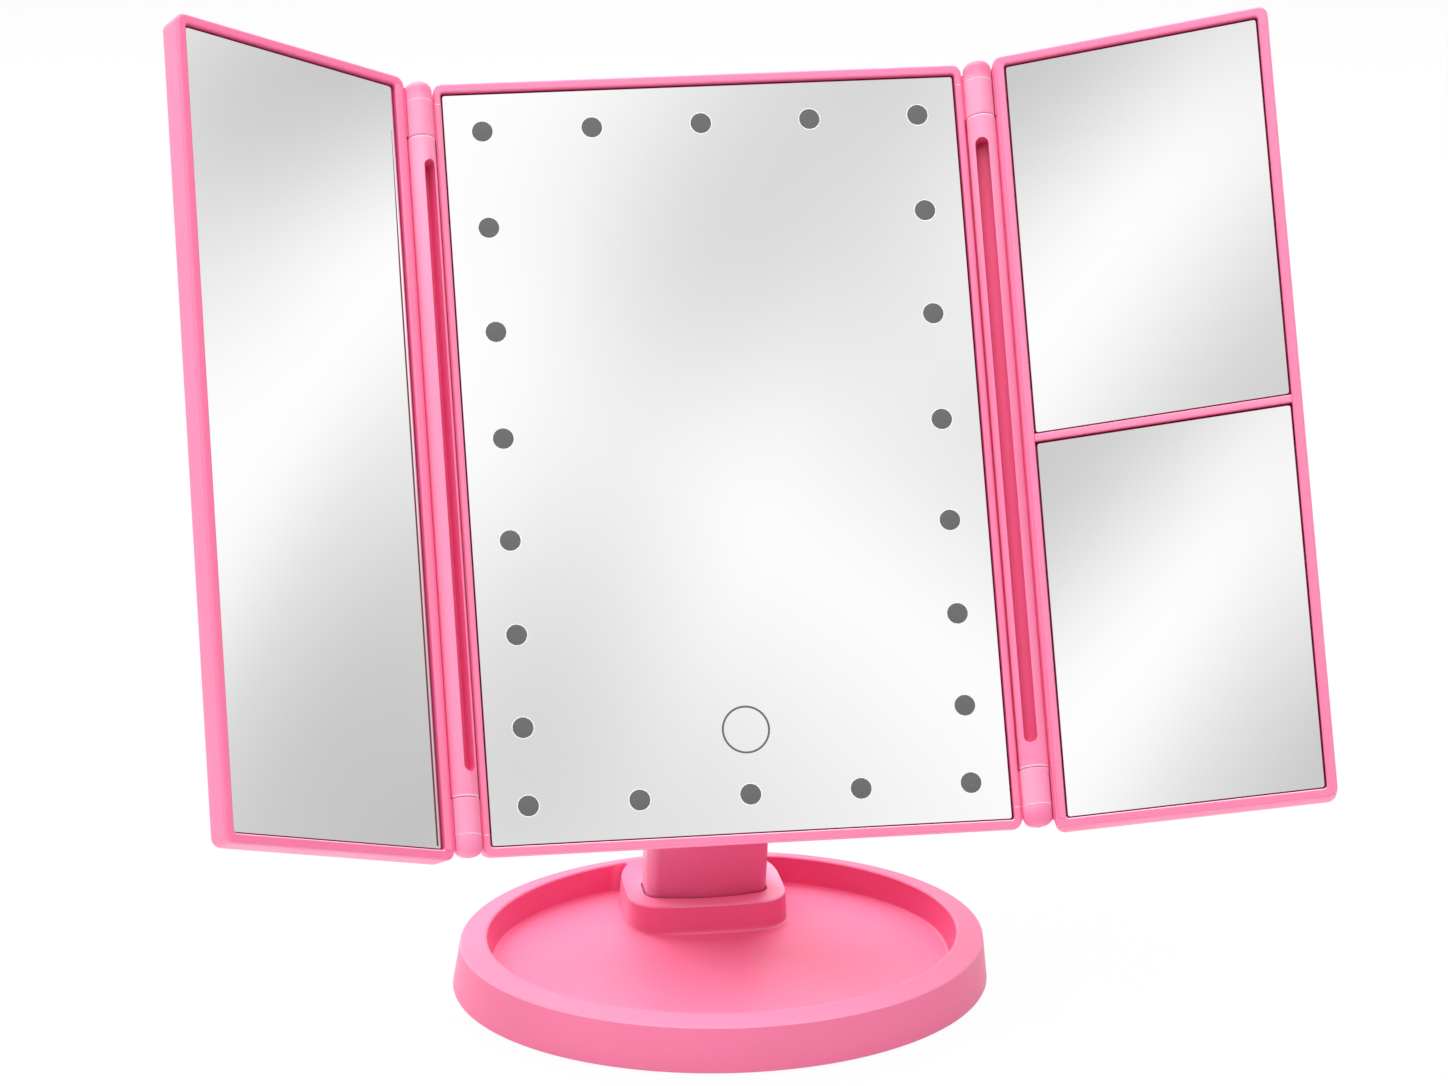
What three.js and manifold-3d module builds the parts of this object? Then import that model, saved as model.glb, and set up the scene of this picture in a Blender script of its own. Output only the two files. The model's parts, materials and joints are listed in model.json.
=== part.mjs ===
// Lighted tri-fold vanity mirror on an oval tray base.
// Millimetres, +Z up. The origin is the centre of the base cover's underside, and +Y points away
// from the user. Head pieces are drawn in the head's own frame: x to the right, y into the panel
// from the plane of the front lips, z up along the panel. Wing pieces are drawn from their hinge axis.
import * as THREE from 'three';
import { mergeVertices } from 'three/addons/utils/BufferGeometryUtils.js';
import Module from 'manifold-3d';

const wasm = await Module();
wasm.setup();

// How the moving pieces stand, in degrees
const tiltBack = 36;
const leftFold = 34;
const rightFold = 19.5;

// Clearances
const gap = 0.3; // between seated pieces
const turnGap = 0.4; // between pieces that turn past each other
const postGap = 0.9; // between the post and the back of the upright panel

// How far a cutter runs past the face that it opens, and how deep an added detail is rooted
const past = 1;
const root = 0.3;
const roundShare = 0.3; // middle point of a round edge, as a share of its radius

// Glasses
const glassWidth = 160;
const glassHeight = 235;
const glassThickness = 2;
const glassRecess = 1.3; // lip plane down to the glass
const glassCorner = 1;
const glassEdge = 0.25;

// Lips and frame
const lipWidth = 3;
const sideLip = 2.3; // lip beside each hinge barrel
const lipRound = 0.9;
const innerRound = 0.5;
const panelCorner = 3;
const ledgeWidth = 5.5;
const ledgeThickness = 1.5;
const frameDepth = 6.5;

// Hinges of the wings
const barrelRadius = 4.3;
const axisForward = 0.3; // hinge axis in front of the lip plane, so that the wings fold flat
const knuckleLength = 18; // fixed cap and knuckle together
const capLength = 6.8;
const partingDepth = 0.2; // fine groove where the cap meets the knuckle
const capRound = 2.8;
const capCrown = 0.4;
const webDepth = 3.6;
const webDrop = 0.8; // front of a knuckle's web, behind the lip
const pinRadius = 1.2;
const pinReach = 5.6;
const slotWidth = 3.9;
const slotFromSeam = 7.7;
const slotBelowAxis = 1.1;

// Wings
const wingTaller = 1; // how far a wing passes the centre panel at each end
const hingeLip = 3.6; // wing lip beside the hinge
const hingeStep = 1.3; // width of the low step between that lip and the hinge
const hingeStepDrop = 0.3;
const wingDepth = 8.6;
const wingRound = 1.2;
const barrelEdge = 0.3;
const webWidth = 1.5;
const dividerWidth = 2.5;
const dividerDrop = 0.3;

// Lights and touch control
const ledMargin = 12;
const ledWindow = 6.4;
const windowDepth = 0.2;
const rowCount = 5;
const columnShares = [0.145, 0.301, 0.46, 0.611, 0.75, 0.886];
const touchRing = 14.8;
const ringLine = 0.6;
const touchHeight = 32; // above the bottom edge of the glass
const ledSize = [3.5, 1.4, 2.8];
const boardThickness = 1.6;
const boardWidth = 11;
const controlSize = [38, 26];
const chipHalf = [5, 3];
const coilRadius = 3;
const componentHeight = 1.2;
const sensorThickness = 0.6;
const sensorMargin = 0.9;
const springRadius = 2;
const boardPost = 2;
const cardPost = 1.6;
const cardPostInset = 4;

// Rear housing and its raised box
const plateBack = 11.5;
const plateThickness = 2;
const backRound = 3;
const guardReach = 3.4; // flange behind each wing hinge, which closes the gap beside the barrel
const guardThickness = 1.6;
const guardSetBack = 0.4;
const boxHalfWidth = 34;
const boxBelowAxle = 28;
const boxWall = 3;
const boxCorner = 6;
const boxRound = 2.2;
const boxDraft = 0.3;

// Battery bay
const cellRadius = 7.1;
const cellLength = 50.5;
const nubRadius = 2.75;
const nubLength = 1.2;
const cellSpacing = 15;
const cellCount = 4;
const cellEdge = 0.4;
const contactSpace = 3.35; // from each cell end to its contact plate
const contactThickness = 0.4;
const contactMargin = 1;
const springEnd = 4; // outer radius of a contact's conical spring
const bayFloor = 1;
const doorThickness = 1.6;
const doorLedge = 1.7;
const tabLength = 6;
const tabReach = 1.1;
const tabThickness = 0.7;
const doorTravel = 7;
const doorTabs = [8, 42]; // middles of the latch tabs, above the door's lower edge
const gripWidth = 18; // widest of the finger grooves
const gripStep = 1.1;
const gripDrop = 10;
const gripDepth = 0.5;

// Power switch and socket, in the two cheeks beside the post
const switchRise = 10.5; // above the lower edge of the raised box
const switchTravel = 4;
const knobLength = 5;
const knobWidth = 3.4;
const knobHeight = 1.2;
const sliderFlange = 1;
const sliderThickness = 0.7;
const switchDepth = 6;
const gripShares = [0.25, 0.5, 0.75]; // grooves across the knob, as shares of its length
const grooveWidth = 0.6;
const grooveDepth = 0.35;
const skin = 1.3; // wall over the switch and the socket
const socketRise = 9; // above the lower edge of the raised box
const socketSize = [7.6, 6, 3];
const socketWall = 0.4;
const tongueHalf = 0.3;
const cardDrop = 1.5; // the socket's own board hangs this far below it

// Tilt hinge
const axleRadius = 3;
const axleBelowCentre = 14;
const washerThickness = 1;
const washerRadius = 6;
const capRadius = 6;
const capThickness = 1.2;
const capStub = 1.5;

// Post
const postWidth = 41;
const postDepth = 14;
const postBulge = 3;
const postCorner = 4;
const postRearCorner = 1.5;
const postFootEdge = 0.4;
const postToBack = 27.1; // from the post to the back of the oval
const axleHeight = 144.8;
const postWall = 2.2;
const coverThickness = 2.4;
const footBlock = 12;
const wellHalf = 5; // round the heads of the post's screws, beneath the tray
const topBlock = 10;
const coverScrewInset = 16;

// Base
const baseHalfLength = 88.3;
const baseRatio = 0.74; // depth of the oval over its length
const rimHeight = 17.1;
const rimFall = 1.6;
const rimRound = 0.9;
const outerFlare = 2.4;
const rimWidth = 9.1;
const innerDraft = 1.1;
const floorTop = 7.8;
const floorThickness = 2;
const baseWall = 2.2;
const coverPlate = 2.2;
const coverLedge = 0.6;
const footEdge = 0.4;
const collarMargin = 6.4;
const collarCorner = 10;
const collarBulge = 1.8;
const socketDepth = 6.3;
const collarStraight = 2; // how far the sides of the collar run straight past the post
const collarSweep = 24.5; // radius by which they then turn in towards the rim
const notchRound = 1.2; // fillet from the collar into the rim
const pocketRound = 1.2;
const footRadius = 4.5;
const footHeight = 1.2;
const footSeat = 0.6;
const footInset = 13; // middles of the feet, in from the foot of the oval
const footAngles = { rear: 69, front: -38 };
const screwAngles = [24, 156, 204, 336];

// Screws: shank radius, head radius, head height
const smallScrew = { shank: 1.1, head: 2.3, height: 1 };
const largeScrew = { shank: 1.5, head: 2.8, height: 1.4 };
const bossRadius = 2.6;
const headSink = 0.1; // floor of a screw's recess below the underside of its head, less the gap
const shortScrew = 5;
const coverScrew = 7;
const postScrew = 11;
const pilotSpare = 3; // how much deeper a post screw's hole is than its tip

// Facets round a full circle
const wideSides = 24;
const roundSides = 16;
const holeSides = 9;
const ovalSides = 40;

// Worked-out places
const halfGlass = glassWidth / 2;
const halfTall = glassHeight / 2;
const glassBack = glassRecess + glassThickness;
const seatDepth = glassBack + gap;
const frameHalf = halfGlass + gap + sideLip;
const panelHalf = halfTall + gap + lipWidth;
const wingHalf = panelHalf + wingTaller;
const wingGlassHalf = halfTall + wingTaller;
const hingeX = frameHalf + turnGap + barrelRadius;
const seamZ = panelHalf - knuckleLength;
const wingInner = barrelRadius + turnGap;
const wingOuter = hingeX - gap;
const wingGlassStart = wingInner + hingeLip + gap;
const wingGlassEnd = wingOuter - lipWidth - gap;
const housingFront = frameDepth + gap;
const plateFront = plateBack - plateThickness;
const axleDepth = plateBack + postGap + postDepth / 2;
const axleZ = -axleBelowCentre;
const bayHalf = cellLength / 2 + gap + contactSpace + gap;
const bayHeight = cellSpacing * cellCount + 2 * gap;
const notchTop = axleZ + postDepth / 2 + postGap;
const bayBottom = notchTop + 2 * boxWall;
const bayTop = bayBottom + bayHeight;
const boxBottom = axleZ - boxBelowAxle;
const boxTop = bayTop + boxWall;
const bayFront = plateFront - bayFloor;
const cellDepth = bayFront + gap + cellRadius;
const doorFront = cellDepth + cellRadius + 2 * gap;
const boxBack = doorFront + doorThickness;
const washerStart = postWidth / 2 + gap;
const notchHalf = washerStart + washerThickness + gap;
const cheekMiddle = (notchHalf + boxHalfWidth) / 2;
const ledDepth = glassBack + 2 * gap;
const boardFront = ledDepth + ledSize[1];
const boardBack = boardFront + boardThickness;
const controlFront = boardBack - 0.7;
const controlBack = controlFront + boardThickness;
const touchZ = -halfTall + touchHeight;
const socketFloor = rimHeight - socketDepth;
const footZ = socketFloor + gap;
const postScrewX = postWidth * 0.28;
const postBackY = baseRatio * baseHalfLength - postToBack;
const postFrontY = postBackY - postDepth;
const axleY = postFrontY + postDepth / 2;
const postTop = axleHeight + postDepth / 2;
const coverBottom = footZ + footBlock;
const coverTop = axleHeight - topBlock;
const floorUnder = floorTop - floorThickness;
const rimOuter = baseHalfLength - outerFlare;
const pocketHalf = rimOuter - rimWidth;
const bossCorner = [frameHalf - 6, panelHalf - 6.9];

const pink = new THREE.MeshStandardMaterial({ color: 0xff7fac, roughness: 0.38, metalness: 0 });
const mirror = new THREE.MeshStandardMaterial({ color: 0xe6e8e8, roughness: 0.04, metalness: 1 });
const steel = new THREE.MeshStandardMaterial({ color: 0xb9bcc0, roughness: 0.3, metalness: 1 });
const board = new THREE.MeshStandardMaterial({ color: 0xe8eae6, roughness: 0.6, metalness: 0 });
const rubber = new THREE.MeshStandardMaterial({ color: 0xd9d6d4, roughness: 0.85, metalness: 0 });
const cellWrap = new THREE.MeshStandardMaterial({ color: 0x3c4046, roughness: 0.4, metalness: 0.3 });
const nylon = new THREE.MeshStandardMaterial({ color: 0xf2f0ee, roughness: 0.6, metalness: 0 });

// Turns a closed geometry into a solid, with its faces pointing out.
function solid(geometry) {
  const plain = geometry.index ? geometry.toNonIndexed() : geometry.clone();
  plain.deleteAttribute('normal');
  plain.deleteAttribute('uv');
  const merged = mergeVertices(plain, 1e-4);
  const at = merged.attributes.position;
  const point = (i) => new THREE.Vector3().fromBufferAttribute(at, i);
  const faces = [];
  let volume = 0;
  for (let i = 0; i < merged.index.count; i += 3) {
    const [a, b, c] = [0, 1, 2].map((k) => merged.index.getX(i + k));
    if (a === b || b === c || c === a) continue;
    faces.push([a, b, c]);
    volume += point(a).dot(point(b).cross(point(c)));
  }
  const order = volume > 0 ? faces.flat() : faces.map(([a, b, c]) => [a, c, b]).flat();
  const mesh = new wasm.Mesh({
    numProp: 3,
    vertProperties: new Float32Array(at.array),
    triVerts: new Uint32Array(order),
  });
  return new wasm.Manifold(mesh);
}

function geometryOf(shape) {
  const mesh = shape.getMesh();
  const geometry = new THREE.BufferGeometry();
  geometry.setAttribute('position', new THREE.BufferAttribute(new Float32Array(mesh.vertProperties), 3));
  geometry.setIndex(new THREE.BufferAttribute(new Uint32Array(mesh.triVerts), 1));
  const flat = geometry.toNonIndexed();
  flat.computeVertexNormals();
  return flat;
}

const join = (shapes) => shapes.reduce((sum, shape) => sum.add(shape));
const cut = (shape, tools) => tools.reduce((rest, tool) => rest.subtract(tool), shape);

function block(x0, x1, y0, y1, z0, z1) {
  const box = new THREE.BoxGeometry(Math.abs(x1 - x0), Math.abs(y1 - y0), Math.abs(z1 - z0));
  return solid(box.translate((x0 + x1) / 2, (y0 + y1) / 2, (z0 + z1) / 2));
}

// Round bar between two points.
function rod(from, to, radius, sides = roundSides) {
  const start = new THREE.Vector3(...from);
  const run = new THREE.Vector3(...to).sub(start);
  const bar = new THREE.CylinderGeometry(radius, radius, run.length(), sides);
  const turn = new THREE.Quaternion();
  turn.setFromUnitVectors(new THREE.Vector3(0, 1, 0), run.clone().normalize());
  bar.applyQuaternion(turn);
  const middle = start.addScaledVector(run, 0.5);
  return solid(bar.translate(middle.x, middle.y, middle.z));
}

// Round bars along x, y and z.
const barX = (x0, x1, y, z, radius, sides) => rod([x0, y, z], [x1, y, z], radius, sides);
const barY = (x, y0, y1, z, radius, sides) => rod([x, y0, z], [x, y1, z], radius, sides);
const barZ = (x, y, z0, z1, radius, sides) => rod([x, y, z0], [x, y, z1], radius, sides);

// Solid of revolution about Z from a profile of [radius, height].
function turned(profile, sides = roundSides) {
  const points = profile.map(([radius, height]) => new THREE.Vector2(radius, height));
  return solid(new THREE.LatheGeometry(points, sides).rotateX(Math.PI / 2));
}

// Skin through rings of equal count. Open ends are closed by flat fans; a loop joins last to first.
function loft(rings, loop = false) {
  const points = rings.flat();
  const count = rings[0].length;
  const faces = [];
  const bands = loop ? rings.length : rings.length - 1;
  for (let r = 0; r < bands; r += 1) {
    const here = r * count;
    const next = ((r + 1) % rings.length) * count;
    for (let i = 0; i < count; i += 1) {
      const j = (i + 1) % count;
      faces.push(here + i, here + j, next + j, here + i, next + j, next + i);
    }
  }
  if (!loop) {
    const ends = [[0, true], [rings.length - 1, false]];
    for (const [r, first] of ends) {
      const middle = new THREE.Vector3();
      rings[r].forEach((p) => middle.addScaledVector(p, 1 / count));
      points.push(middle);
      const hub = points.length - 1;
      for (let i = 0; i < count; i += 1) {
        const j = (i + 1) % count;
        faces.push(hub, r * count + (first ? j : i), r * count + (first ? i : j));
      }
    }
  }
  const geometry = new THREE.BufferGeometry().setFromPoints(points);
  geometry.setIndex(faces);
  return solid(geometry);
}

// Outline of a rectangle with round corners, as [x, z] pairs.
function roundedRect(x0, x1, z0, z1, radius, steps = 4) {
  const corners = [[x1 - radius, z1 - radius], [x0 + radius, z1 - radius]];
  corners.push([x0 + radius, z0 + radius], [x1 - radius, z0 + radius]);
  return corners.flatMap(([x, z], quarter) => {
    const arc = [];
    for (let i = 0; i <= steps; i += 1) {
      const angle = (Math.PI / 2) * (quarter + i / steps);
      arc.push([x + radius * Math.cos(angle), z + radius * Math.sin(angle)]);
    }
    return arc;
  });
}

// Ring of a panel at a depth: the rectangle drawn in by an inset. A side of -1 mirrors it.
function panelRing(rect, inset, depth, side = 1) {
  const radius = Math.max(rect.corner - inset, 0.15);
  const outline = roundedRect(rect.x0 + inset, rect.x1 - inset, rect.z0 + inset, rect.z1 - inset, radius);
  return outline.map(([x, z]) => new THREE.Vector3(side * x, depth, z));
}

const centredRect = (halfX, halfZ, corner) => ({ x0: -halfX, x1: halfX, z0: -halfZ, z1: halfZ, corner });

// Places of the light windows: even rows at top and bottom, columns between them.
function ledPlaces() {
  const x = halfGlass - ledMargin;
  const z = halfTall - ledMargin;
  const places = [];
  for (let i = 0; i < rowCount; i += 1) {
    const across = -x + (2 * x * i) / (rowCount - 1);
    places.push([across, z], [across, -z]);
  }
  for (const share of columnShares) {
    places.push([-x, z - 2 * z * share], [x, z - 2 * z * share]);
  }
  return places;
}

// Fixed part of a wing hinge: knuckle and domed cap, standing up from the seam at z = 0.
function knuckle() {
  const parting = knuckleLength - capLength;
  const profile = [[0, 0], [barrelRadius, 0], [barrelRadius, parting - partingDepth]];
  profile.push([barrelRadius - partingDepth, parting], [barrelRadius, parting + partingDepth]);
  for (let i = 0; i <= 3; i += 1) {
    const angle = (Math.PI / 2) * (i / 3);
    const radius = barrelRadius - capRound * (1 - Math.cos(angle));
    profile.push([radius, knuckleLength - capRound + (capRound - capCrown) * Math.sin(angle)]);
  }
  profile.push([0, knuckleLength]);
  return turned(profile);
}

function frontFrame() {
  const outer = centredRect(frameHalf, panelHalf, panelCorner);
  const opening = centredRect(halfGlass + gap, halfTall + gap, glassCorner);
  const ledge = centredRect(opening.x1 - ledgeWidth, opening.z1 - ledgeWidth, glassCorner);
  const ledgeBack = seatDepth + ledgeThickness;
  const ring = loft([
    panelRing(outer, 0, frameDepth),
    panelRing(outer, 0, lipRound),
    panelRing(outer, lipRound * roundShare, lipRound * roundShare),
    panelRing(outer, lipRound, 0),
    panelRing(opening, -innerRound, 0),
    panelRing(opening, 0, innerRound),
    panelRing(opening, 0, seatDepth),
    panelRing(ledge, 0, seatDepth),
    panelRing(ledge, 0, ledgeBack),
    panelRing(opening, 0, ledgeBack),
    panelRing(opening, 0, frameDepth),
  ], true);
  const added = [ring];
  const removed = [];
  for (const side of [-1, 1]) {
    for (const end of [-1, 1]) {
      const shape = knuckle();
      const upright = end > 0 ? shape : shape.rotate([180, 0, 0]);
      added.push(upright.translate([side * hingeX, -axisForward, end * seamZ]));
      const inner = side * (frameHalf - past);
      const webTop = end * (panelHalf - capRound - past);
      added.push(block(inner, side * hingeX, webDrop, webDrop + webDepth, end * seamZ, webTop));
      const pinTop = end * (seamZ + pinReach + gap);
      const pinLow = end * (seamZ - past);
      removed.push(barZ(side * hingeX, -axisForward, pinLow, pinTop, pinRadius + gap, holeSides));
      const [bossX, bossZ] = [side * bossCorner[0], end * bossCorner[1]];
      added.push(barY(bossX, seatDepth + root, plateFront - gap, bossZ, bossRadius, holeSides));
      removed.push(barY(bossX, ledgeBack + root, plateFront, bossZ, smallScrew.shank + gap, holeSides));
    }
  }
  return cut(join(added), removed);
}

// Sheet of glass with its front edge eased.
function pane(rect, y0, y1, side = 1) {
  return loft([
    panelRing(rect, glassEdge, y0, side),
    panelRing(rect, 0, y0 + glassEdge, side),
    panelRing(rect, 0, y1, side),
  ]);
}

function centreGlass() {
  const plate = pane(centredRect(halfGlass, halfTall, glassCorner), glassRecess, glassBack);
  const front = glassRecess - past;
  const floor = glassRecess + windowDepth;
  const windows = ledPlaces().map(([x, z]) => barY(x, front, floor, z, ledWindow / 2, holeSides));
  const ring = barY(0, front, floor, touchZ, touchRing / 2, wideSides);
  const island = barY(0, front - past, floor + past, touchZ, touchRing / 2 - ringLine, wideSides);
  return cut(plate, [...windows, ring.subtract(island)]);
}

function ledBoard() {
  const middle = [halfGlass - ledMargin, halfTall - ledMargin];
  const outer = centredRect(middle[0] + boardWidth / 2, middle[1] + boardWidth / 2, 3);
  const inner = centredRect(middle[0] - boardWidth / 2, middle[1] - boardWidth / 2, 3);
  const ring = loft([
    panelRing(outer, 0, boardFront),
    panelRing(outer, 0, boardBack),
    panelRing(inner, 0, boardBack),
    panelRing(inner, 0, boardFront),
  ], true);
  const [w, , h] = ledSize;
  const lamp = ([x, z]) => block(x - w / 2, x + w / 2, ledDepth, boardFront + root, z - h / 2, z + h / 2);
  return join([ring, ...ledPlaces().map(lamp)]);
}

function controlBoard() {
  const [w, h] = controlSize;
  const card = block(-w / 2, w / 2, controlFront, controlBack, touchZ - h / 2, touchZ + h / 2);
  const [start, end] = [controlBack - root, controlBack + componentHeight];
  const chip = block(-chipHalf[0], chipHalf[0], start, end, touchZ - chipHalf[1], touchZ + chipHalf[1]);
  const coilX = chipHalf[0] + 2 * coilRadius;
  const coil = barY(coilX, start, end, touchZ, coilRadius, holeSides);
  return join([card, chip, coil]);
}

function touchSensor() {
  const radius = touchRing / 2 - sensorMargin;
  const pad = barY(0, seatDepth, seatDepth + sensorThickness, touchZ, radius);
  const spring = barY(0, seatDepth, controlFront - gap, touchZ, springRadius, holeSides);
  return pad.add(spring);
}

// Outside of the raised box on the rear housing, grown from inside the plate.
function raisedBox() {
  const rect = { x0: -boxHalfWidth, x1: boxHalfWidth, z0: boxBottom, z1: boxTop, corner: boxCorner };
  return loft([
    panelRing(rect, 0, plateFront + root),
    panelRing(rect, boxDraft, boxBack - boxRound),
    panelRing(rect, boxDraft + boxRound * roundShare, boxBack - boxRound * roundShare),
    panelRing(rect, boxDraft + boxRound, boxBack),
  ]);
}

const doorHalf = bayHalf + doorLedge;
const doorBottom = bayBottom + gap;
const tabPlaces = doorTabs.map((height) => doorBottom + height);

// Where a board or a bay stands on the housing's plate.
function supportPosts() {
  const x = halfGlass - ledMargin;
  const z = halfTall - ledMargin;
  const ringPosts = [[x, z * 0.5], [x, -z * 0.5], [-x, z * 0.5], [-x, -z * 0.5]];
  ringPosts.push([x * 0.5, z], [-x * 0.5, z], [x * 0.5, -z], [-x * 0.5, -z]);
  const cardX = controlSize[0] / 2 - cardPostInset;
  const cardZ = controlSize[1] / 2 - cardPostInset;
  const cardPosts = [];
  for (const side of [-1, 1]) {
    cardPosts.push([side * cardX, touchZ - cardZ], [side * cardX, touchZ + cardZ]);
  }
  const post = ([px, pz], front, radius) => barY(px, front, plateFront + root, pz, radius, holeSides);
  return [
    ...ringPosts.map((at) => post(at, boardBack + gap, boardPost)),
    ...cardPosts.map((at) => post(at, controlBack + gap, cardPost)),
  ];
}

function rearHousing() {
  const outer = centredRect(frameHalf, panelHalf, panelCorner);
  const inside = plateThickness;
  const shell = loft([
    panelRing(outer, inside + 0.4, plateFront),
    panelRing(outer, inside, plateFront - 0.4),
    panelRing(outer, inside, housingFront),
    panelRing(outer, 0, housingFront),
    panelRing(outer, 0, plateBack - backRound),
    panelRing(outer, backRound * 0.15, plateBack - backRound * 0.45),
    panelRing(outer, backRound * 0.45, plateBack - backRound * 0.15),
    panelRing(outer, backRound, plateBack),
  ]);
  const guards = [-1, 1].map((side) => {
    const [inner, reach] = [side * (frameHalf - past), side * (frameHalf + guardReach)];
    const front = housingFront + guardSetBack;
    return block(inner, reach, front, front + guardThickness, -seamZ, seamZ);
  });
  const cupHalf = bayHalf + doorLedge;
  const [cupBottom, cupTop] = [bayBottom - doorLedge, bayTop + doorLedge];
  const cup = block(-cupHalf, cupHalf, bayFront - bayFloor, plateBack, cupBottom, cupTop);
  const far = boxBack + past;
  const farSide = boxHalfWidth + past;
  const removed = [
    block(-bayHalf, bayHalf, bayFront, far, bayBottom, bayTop),
    block(-doorHalf - gap, doorHalf + gap, doorFront - gap, far, bayBottom, boxTop + past),
    block(-notchHalf, notchHalf, plateBack, far, boxBottom - past, notchTop),
  ];
  const tabDeep = doorFront + tabThickness + gap;
  for (const side of [-1, 1]) {
    const rail = side * (doorHalf + tabReach + gap);
    removed.push(block(side * doorHalf, rail, doorFront - gap, tabDeep, bayBottom, boxTop + past));
    for (const z of tabPlaces) {
      const low = z + doorTravel - tabLength / 2 - gap;
      removed.push(block(side * doorHalf, rail, doorFront, far, low, low + tabLength + 2 * gap));
    }
    const cheekInner = side * (notchHalf - past);
    removed.push(barX(cheekInner, side * farSide, axleDepth, axleZ, axleRadius + gap));
    const capSeat = side * (boxHalfWidth - capThickness - boxDraft - gap);
    removed.push(barX(capSeat, side * farSide, axleDepth, axleZ, capRadius + gap, wideSides));
    for (const end of [-1, 1]) {
      const [x, z] = [side * bossCorner[0], end * bossCorner[1]];
      const sink = plateBack - smallScrew.height - headSink;
      removed.push(barY(x, plateFront - past, plateBack + past, z, smallScrew.shank + gap, holeSides));
      removed.push(barY(x, sink, plateBack + past, z, smallScrew.head + gap, holeSides));
    }
  }
  removed.push(...switchCavity(), ...socketCavity());
  return cut(join([shell, cup, raisedBox(), ...guards, ...supportPosts()]), removed);
}

// The switch lies in the right cheek, with its knob through a slot in the back wall.
const switchZ = boxBottom + switchRise;
const switchHalf = 3.5;
const switchTall = knobLength + switchTravel + 5 * sliderFlange;

function switchCavity() {
  const [x0, x1] = [cheekMiddle - switchHalf - gap, cheekMiddle + switchHalf + gap];
  const half = switchTall / 2 + gap;
  const slot = (knobLength + switchTravel) / 2 + gap;
  const knob = knobWidth / 2 + gap;
  const [k0, k1] = [cheekMiddle - knob, cheekMiddle + knob];
  return [
    block(x0, x1, plateFront - past, boxBack - skin, switchZ - half, switchZ + half),
    block(k0, k1, boxBack - skin - past, boxBack + past, switchZ - slot, switchZ + slot),
  ];
}

const sliderBack = () => boxBack - skin - gap;
const sliderFront = () => sliderBack() - sliderThickness;

function switchBody() {
  const half = switchTall / 2;
  const back = sliderFront() - gap;
  const [x0, x1] = [cheekMiddle - switchHalf, cheekMiddle + switchHalf];
  return block(x0, x1, back - switchDepth, back, switchZ - half, switchZ + half);
}

function switchSlider() {
  const low = switchZ - (knobLength + switchTravel) / 2;
  const high = low + knobLength;
  const [k, b] = [knobWidth / 2, knobWidth / 2 + sliderFlange];
  const [x0, x1] = [cheekMiddle - b, cheekMiddle + b];
  const top = boxBack + knobHeight;
  const flange = block(x0, x1, sliderFront(), sliderBack(), low - sliderFlange, high + sliderFlange);
  const knob = block(cheekMiddle - k, cheekMiddle + k, sliderBack() - root, top, low, high);
  const grooves = gripShares.map((share) => {
    const [z, half] = [low + knobLength * share, grooveWidth / 2];
    return block(x0, x1, top - grooveDepth, top + past, z - half, z + half);
  });
  return cut(flange.add(knob), grooves);
}

// The charging socket lies in the left cheek and opens to the back.
const socketZ = boxBottom + socketRise;

function socketCavity() {
  const [w, , h] = socketSize;
  const half = [w / 2 + gap, h / 2 + gap];
  const [x0, x1] = [-cheekMiddle - half[0], -cheekMiddle + half[0]];
  return [
    block(x0, x1, plateFront - past, boxBack - skin, socketZ - half[1] - cardDrop, socketZ + half[1]),
    block(x0, x1, boxBack - skin - past, boxBack + past, socketZ - half[1], socketZ + half[1]),
  ];
}

function usbSocket() {
  const [w, deep, h] = socketSize;
  const x = -cheekMiddle;
  const [x0, x1] = [x - w / 2, x + w / 2];
  const back = boxBack - gap;
  const inside = back - deep + 2 * socketWall;
  const [halfW, halfH] = [w / 2 - socketWall, h / 2 - socketWall];
  const shell = block(x0, x1, back - deep, back, socketZ - h / 2, socketZ + h / 2);
  const mouth = block(x - halfW, x + halfW, inside, back + past, socketZ - halfH, socketZ + halfH);
  const tongueX = halfW - 2 * tongueHalf;
  const [low, high] = [socketZ - tongueHalf, socketZ + tongueHalf];
  const tongue = block(x - tongueX, x + tongueX, inside - root, back - past, low, high);
  const under = socketZ - h / 2;
  const card = block(x0, x1, plateFront + past, back - deep + root, under - cardDrop, under + root);
  return join([shell.subtract(mouth), tongue, card]);
}

function batteryDoor() {
  const blank = block(-doorHalf, doorHalf, doorFront, boxBack + past, doorBottom, boxTop + past);
  const panel = raisedBox().intersect(blank);
  const added = [panel];
  for (const side of [-1, 1]) {
    for (const z of tabPlaces) {
      const [x0, x1] = [side * (doorHalf - past), side * (doorHalf + tabReach)];
      const half = tabLength / 2;
      added.push(block(x0, x1, doorFront, doorFront + tabThickness, z - half, z + half));
    }
  }
  const grip = [0, 1, 2, 3].map((i) => {
    const half = gripWidth / 2 - i * gripStep;
    const z = boxTop - gripDrop - i * 2 * gripStep;
    return block(-half, half, boxBack - gripDepth, boxBack + past, z - gripDepth, z + gripDepth);
  });
  return cut(join(added), grip);
}

const cellZ = (index) => bayBottom + bayHeight / 2 + cellSpacing * (index - (cellCount - 1) / 2);

// Cells lie across the bay, with every second one turned round.
function battery(index) {
  const z = cellZ(index);
  const way = index % 2 === 0 ? 1 : -1;
  const half = cellLength / 2;
  const shoulder = cellLength - nubLength;
  const inner = cellRadius - cellEdge;
  const profile = [[0, 0], [inner, 0], [cellRadius, cellEdge], [cellRadius, shoulder - cellEdge]];
  profile.push([inner, shoulder], [nubRadius, shoulder], [nubRadius, cellLength], [0, cellLength]);
  return turned(profile).rotate([0, way * 90, 0]).translate([-way * half, cellDepth, z]);
}

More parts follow.
